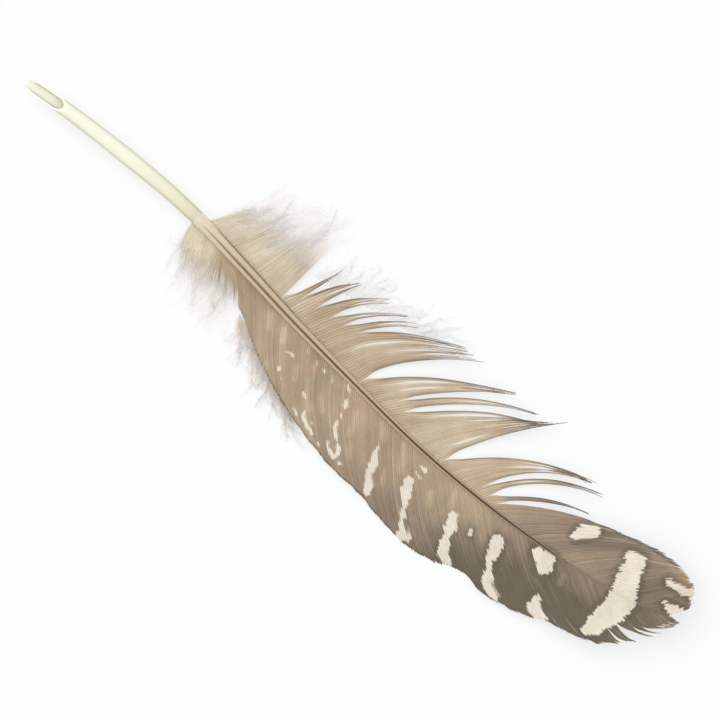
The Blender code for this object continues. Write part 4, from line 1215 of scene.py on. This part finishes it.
def rachis():
    """The shaft's shell, closed at the tip and open into a bore at the barrel."""
    sides = 64
    outside = RACHIS_START + (RACHIS_END - RACHIS_START) * np.linspace(0, 1, 260)
    bore = RACHIS_START + (PITH_END + 0.2 * MM - RACHIS_START) * np.linspace(0, 1, 90)
    outer, across, sine = section(outside, 0.0, sides)
    inner = section(bore, CORTEX_WALL, sides)[0]
    first = len(outside) * sides
    faces = loft_faces(len(outside), sides, start=False)
    faces += loft_faces(len(bore), sides, start=False, shift=first, flip=True)
    for k in range(sides):
        j = (k + 1) % sides
        faces.append((k, first + k, first + j, j))
    mesh = plain_mesh("rachis_shell", np.concatenate([outer, inner]), faces)
    x = np.broadcast_to(outside[:, None] / UNIT, across.shape)
    tint = rachis_tint(x, across, sine).reshape(-1, 3)
    bore_tint = np.tile(linear((222, 214, 196)), (len(bore) * sides, 1))
    lay = np.stack([x, across * 2.0, np.broadcast_to(sine, x.shape)], -1).reshape(-1, 3)
    add_attribute(mesh, "tint", np.concatenate([tint, bore_tint]))
    add_attribute(mesh, "lay", np.concatenate([lay, np.zeros((len(bore) * sides, 3))]))
    return mesh


def pith():
    """The soft core, a hair smaller than the bore it fills."""
    sides = 40
    start = 27.0 * MM
    stations = start + (PITH_END - start) * np.linspace(0, 1, 150)
    co = section(stations, CORTEX_WALL + 0.03 * MM, sides)[0]
    return plain_mesh("pith", co, loft_faces(len(stations), sides))


def barrel_rings(x, radius, sides):
    angles = 2 * np.pi * np.arange(sides) / sides
    return place(np.broadcast_to(x[:, None], (len(x), sides)), radius[:, None] * np.cos(angles),
                 barrel_radius(x)[:, None] + radius[:, None] * np.sin(angles))


def prism(profile, axis, low, high):
    """A closed prism of the profile, (x, z) along Y or (x, y) along Z."""
    count = len(profile)
    around = sum(profile[k - 1][0] * profile[k][1] - profile[k][0] * profile[k - 1][1]
                 for k in range(count))
    if (around > 0) != (axis == "Y"):
        profile = profile[::-1]
    if axis == "Y":
        verts = [(u, end, v) for end in (low, high) for u, v in profile]
    else:
        verts = [(u, v, end) for end in (low, high) for u, v in profile]
    faces = [tuple(range(count)), tuple(count + k for k in reversed(range(count)))]
    faces += [(k, count + k, count + (k + 1) % count, (k + 1) % count) for k in range(count)]
    return verts, faces


def nib_cutters():
    """Prisms that cut the scoop, the nib's two cheeks and its slit."""
    scoop = []
    for i in range(41):
        x = -0.6 * MM + i * (SCOOP_LENGTH + 0.9 * MM) / 40
        at = max(x, 0.0)
        lift = float(smooth(TROUGH_FROM, SCOOP_LENGTH + 0.5 * MM, x)) ** 0.8
        scoop.append((x, float(arch(at) + barrel_radius(at)) + (-0.10 * MM + 1.45 * MM * lift)))
    scoop += [(scoop[-1][0], 6 * MM), (scoop[0][0], 6 * MM)]
    cutters = [prism(scoop, "Y", -4 * MM, 4 * MM)]
    for side in (1, -1):
        edge = []
        for i in range(33):
            x = -0.5 * MM + i * (NIB_SHOULDER + 0.7 * MM) / 32
            flare = float(smooth(-0.2 * MM, NIB_SHOULDER + 0.1 * MM, x)) ** 1.25
            half = NIB_TIP_HALF_WIDTH + 0.62 * MM * flare
            edge.append((x, float(shaft_y(max(x, 0.0))) + side * half))
        edge += [(edge[-1][0], side * 4 * MM), (edge[0][0], side * 4 * MM)]
        cutters.append(prism(edge, "Z", -2 * MM, 7 * MM))
    start, end, half = -0.5 * MM, NIB_SLIT_LENGTH, 0.5 * NIB_SLIT_WIDTH
    start_y, end_y = float(shaft_y(0.0)), float(shaft_y(end))
    slit = [(start, start_y - half), (end, end_y - half), (end, end_y + half), (start, start_y + half)]
    cutters.append(prism(slit, "Z", -2 * MM, 7 * MM))
    return cutters


def cut_away(shell, cutters):
    """The shell's mesh with the cutters taken out of it."""
    scene = bpy.context.scene.collection
    barrel_object = bpy.data.objects.new("calamus_barrel_shell", shell)
    scene.objects.link(barrel_object)
    made = []
    for verts, faces in cutters:
        mesh = bpy.data.meshes.new("cutter")
        mesh.from_pydata([tuple(np.array(vert) - ORIGIN) for vert in verts], [], faces)
        cutter = bpy.data.objects.new("cutter", mesh)
        scene.objects.link(cutter)
        modifier = barrel_object.modifiers.new("cut", "BOOLEAN")
        modifier.operation = "DIFFERENCE"
        modifier.solver = "EXACT"
        modifier.object = cutter
        made.append(cutter)
    bpy.context.view_layer.update()
    graph = bpy.context.evaluated_depsgraph_get()
    cut = bpy.data.meshes.new_from_object(barrel_object.evaluated_get(graph), depsgraph=graph)
    for spent in (barrel_object, *made):
        bpy.data.objects.remove(spent)
    return cut


def barrel():
    """The hollow barrel, cut to a nib."""
    sides = BARREL_SIDES
    stations = np.linspace(0.0, BARREL_END, 90)
    radius = barrel_radius(stations)
    # faint growth rings
    rings = 1 + 0.004 * np.sin(stations / MM * 2.1) + 0.003 * np.sin(stations / MM * 5.3)
    outer = barrel_rings(stations, radius * rings, sides)
    inner = barrel_rings(stations, radius - BARREL_WALL, sides)
    first = len(stations) * sides
    faces = loft_faces(len(stations), sides, start=False, end=False)
    faces += loft_faces(len(stations), sides, start=False, end=False, shift=first, flip=True)
    last = first - sides
    for k in range(sides):
        j = (k + 1) % sides
        faces.append((k, first + k, first + j, j))
        faces.append((last + k, last + j, first + last + j, first + last + k))
    shell = plain_mesh("barrel_shell", np.concatenate([outer, inner]), faces)
    cut = cut_away(shell, nib_cutters())
    cut.set_sharp_from_angle(angle=math.radians(40))
    co = np.empty(len(cut.vertices) * 3, np.float32)
    cut.vertices.foreach_get("co", co)
    x, y, z = (co.reshape(-1, 3) + ORIGIN).T
    across = (y - shaft_y(x)) / MM
    up = (z - (arch(x) + barrel_radius(x))) / MM
    away = np.hypot(across, up) + 1e-6
    add_attribute(cut, "tint", tint_along(x / UNIT, BARREL_TINT))
    add_attribute(cut, "lay", np.stack([x / UNIT, across / away * 2.0, up / away * 2.0], -1))
    return cut


# one pulp cup: share of its length, radius in mm
CUP_PROFILE = ((0.0, 0.15), (0.10, 0.155), (0.25, 0.19), (0.40, 0.27), (0.52, 0.35),
               (0.62, 0.42), (0.72, 0.52), (0.80, 0.61), (0.825, 0.58), (0.84, 0.24))
CUP_LENGTH, FIRST_CUP, CUPS = 1.45 * MM, 12.6 * MM, 9


def pulp():
    """A string of nested paper-thin cups."""
    sides = 40
    stations = np.array([FIRST_CUP + (i + share) * CUP_LENGTH
                         for i in range(CUPS) for share, _ in CUP_PROFILE])
    radii = np.array([radius * MM for _ in range(CUPS) for _, radius in CUP_PROFILE])
    return plain_mesh("pulp", barrel_rings(stations, radii, sides),
                      loft_faces(len(stations), sides))


# ------------------------------------------------------------ put together
def piece(name, mesh, material, body, replaced):
    thing = bpy.data.objects.new(name, mesh)
    bpy.context.scene.collection.objects.link(thing)
    mesh.materials.clear()
    mesh.materials.append(material)
    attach(thing, body)
    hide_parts(replaced)


def build_vane():
    web_paint = feather_material("feather_web", seam_shade=0.14)
    lock_paint = feather_material("feather_lock", seam_shade=0.12)
    fluff = down_material("feather_down")
    for name, first, last, lift in INNER_CLOSED:
        base = "base" in name
        family = between(first, last, lift, inner_margin)
        web = Web(name, INNER, family, INNER_SHADE, "base" if base else "closed")
        piece(name + "_barbs", web.mesh(), web_paint, "quill", name)
    for name, first, last, lift in INNER_LOCKS:
        web = Web(name, INNER, between(first, last, lift), INNER_SHADE, "lock")
        piece(name + "_barbs", web.mesh(), lock_paint, name, name)
    for lap in range(len(OUTER_BARBS) - 1):
        name = f"outer_web_{lap + 1:02d}"
        kind = "base" if lap == 0 else "closed"
        web = Web(name, OUTER, outer_family(lap), OUTER_SHADE, kind)
        piece(name + "_barbs", web.mesh(), web_paint, "quill", name)
    for pad in DOWN_PADS:
        piece(pad[0] + "_plumes", down(*pad), fluff, "quill", pad[0])


def build_shaft():
    shaft_paint = keratin_material(
        "shaft_keratin", deep=linear((200, 180, 150)), edge_on_shade_colour=linear((190, 168, 136)),
        rough=0.46, grainy=0.25, edge_on_shade=0.40, edge_on_shade_range=(0.45, 0.95))
    barrel_paint = keratin_material(
        "barrel_keratin", deep=linear((222, 220, 192)), edge_on_shade_colour=linear((150, 150, 116)),
        rough=0.30, grainy=0.20, edge_on_shade=0.42, edge_on_shade_range=(0.06, 0.46), clear=0.08)
    pulp_paint = fibrous_material("pulp_membrane", pale=linear((226, 217, 190)),
                                  deep=linear((176, 160, 122)), scale=3000, rough=0.6)
    pith_paint = fibrous_material("shaft_pith", pale=linear((240, 235, 222)),
                                  deep=linear((206, 196, 172)), scale=6000, rough=0.9)
    piece("rachis_shell", rachis(), shaft_paint, "quill", "rachis_cortex")
    piece("calamus_shell", barrel(), barrel_paint, "quill", "calamus_barrel")
    piece("pulp_cups", pulp(), pulp_paint, "quill", "pulp_caps")
    piece("pith_core", pith(), pith_paint, "quill", "rachis_pith")
    membrane = frame["nodes"]["umbilical_membrane"]
    membrane.data.materials.clear()
    membrane.data.materials.append(pulp_paint)


# ------------------------------------------------------------ floor, light, camera
FLOOR_HALF = 1.6
VIEW_TURN = math.radians(38.125)
VIEW_CENTRE = (155.35, -5.2)     # units
VIEW_WIDTH = 260                 # units across the picture at the floor
LENS, SENSOR = 150, 36           # mm


def build_floor():
    half = FLOOR_HALF
    mesh = bpy.data.meshes.new("floor")
    corners = [(-half, -half, 0), (half, -half, 0), (half, half, 0), (-half, half, 0)]
    mesh.from_pydata(corners, [], [(0, 1, 2, 3)])
    floor = bpy.data.objects.new("floor", mesh)
    bpy.context.scene.collection.objects.link(floor)
    material, tree, bsdf, _ = new_material("floor_white")
    feed(tree, bsdf, {
        "Base Color": (0.38, 0.383, 0.386),
        "Roughness": 0.9,
        "Specular IOR Level": 0.1,
        "Emission Color": (0.985, 1.0, 1.0),
        "Emission Strength": 0.563})
    mesh.materials.append(material)


def build_world():
    """White light all round; the camera sees a slightly cooler background."""
    world = bpy.data.worlds.new("studio")
    bpy.context.scene.world = world
    world.use_nodes = True
    tree = world.node_tree
    light = tree.nodes["Background"]
    feed(tree, light, {"Color": (1.0, 1.0, 1.0), "Strength": 0.86})
    seen = add_node(tree, "ShaderNodeBackground", {"Color": (0.985, 0.99, 0.99)})
    ray = add_node(tree, "ShaderNodeLightPath")
    both = add_node(tree, "ShaderNodeMixShader", {
        0: ray.outputs["Is Camera Ray"], 1: light.outputs[0], 2: seen.outputs[0]})
    feed(tree, tree.nodes["World Output"], {"Surface": both.outputs[0]})


def build_sun():
    """A broad sun from the upper left of the picture."""
    data = bpy.data.lights.new("key", "SUN")
    data.energy = 1.0
    data.angle = math.radians(60)
    sun = bpy.data.objects.new("key", data)
    right = Vector((math.cos(VIEW_TURN), math.sin(VIEW_TURN), 0))
    upward = Vector((-math.sin(VIEW_TURN), math.cos(VIEW_TURN), 0))
    towards = (-0.45 * right + 0.55 * upward + Vector((0, 0, 1.0))).normalized()
    sun.rotation_mode = "QUATERNION"
    sun.rotation_quaternion = towards.to_track_quat("Z", "Y")
    bpy.context.scene.collection.objects.link(sun)


def build_camera():
    """Looks straight down, turned about Z."""
    data = bpy.data.cameras.new("camera")
    data.lens = LENS
    data.sensor_width = SENSOR
    data.clip_start = 0.01
    data.clip_end = 10
    camera = bpy.data.objects.new("camera", data)
    bpy.context.scene.collection.objects.link(camera)
    camera.location = (VIEW_CENTRE[0] * UNIT - ORIGIN[0], VIEW_CENTRE[1] * UNIT - ORIGIN[1],
                       VIEW_WIDTH * UNIT * LENS / SENSOR)
    camera.rotation_euler = (0, 0, VIEW_TURN)
    bpy.context.scene.camera = camera


build_vane()
build_shaft()
build_floor()
build_world()
build_sun()
build_camera()
bpy.context.scene.view_settings.view_transform = "Standard"
bpy.context.scene.view_settings.look = "None"
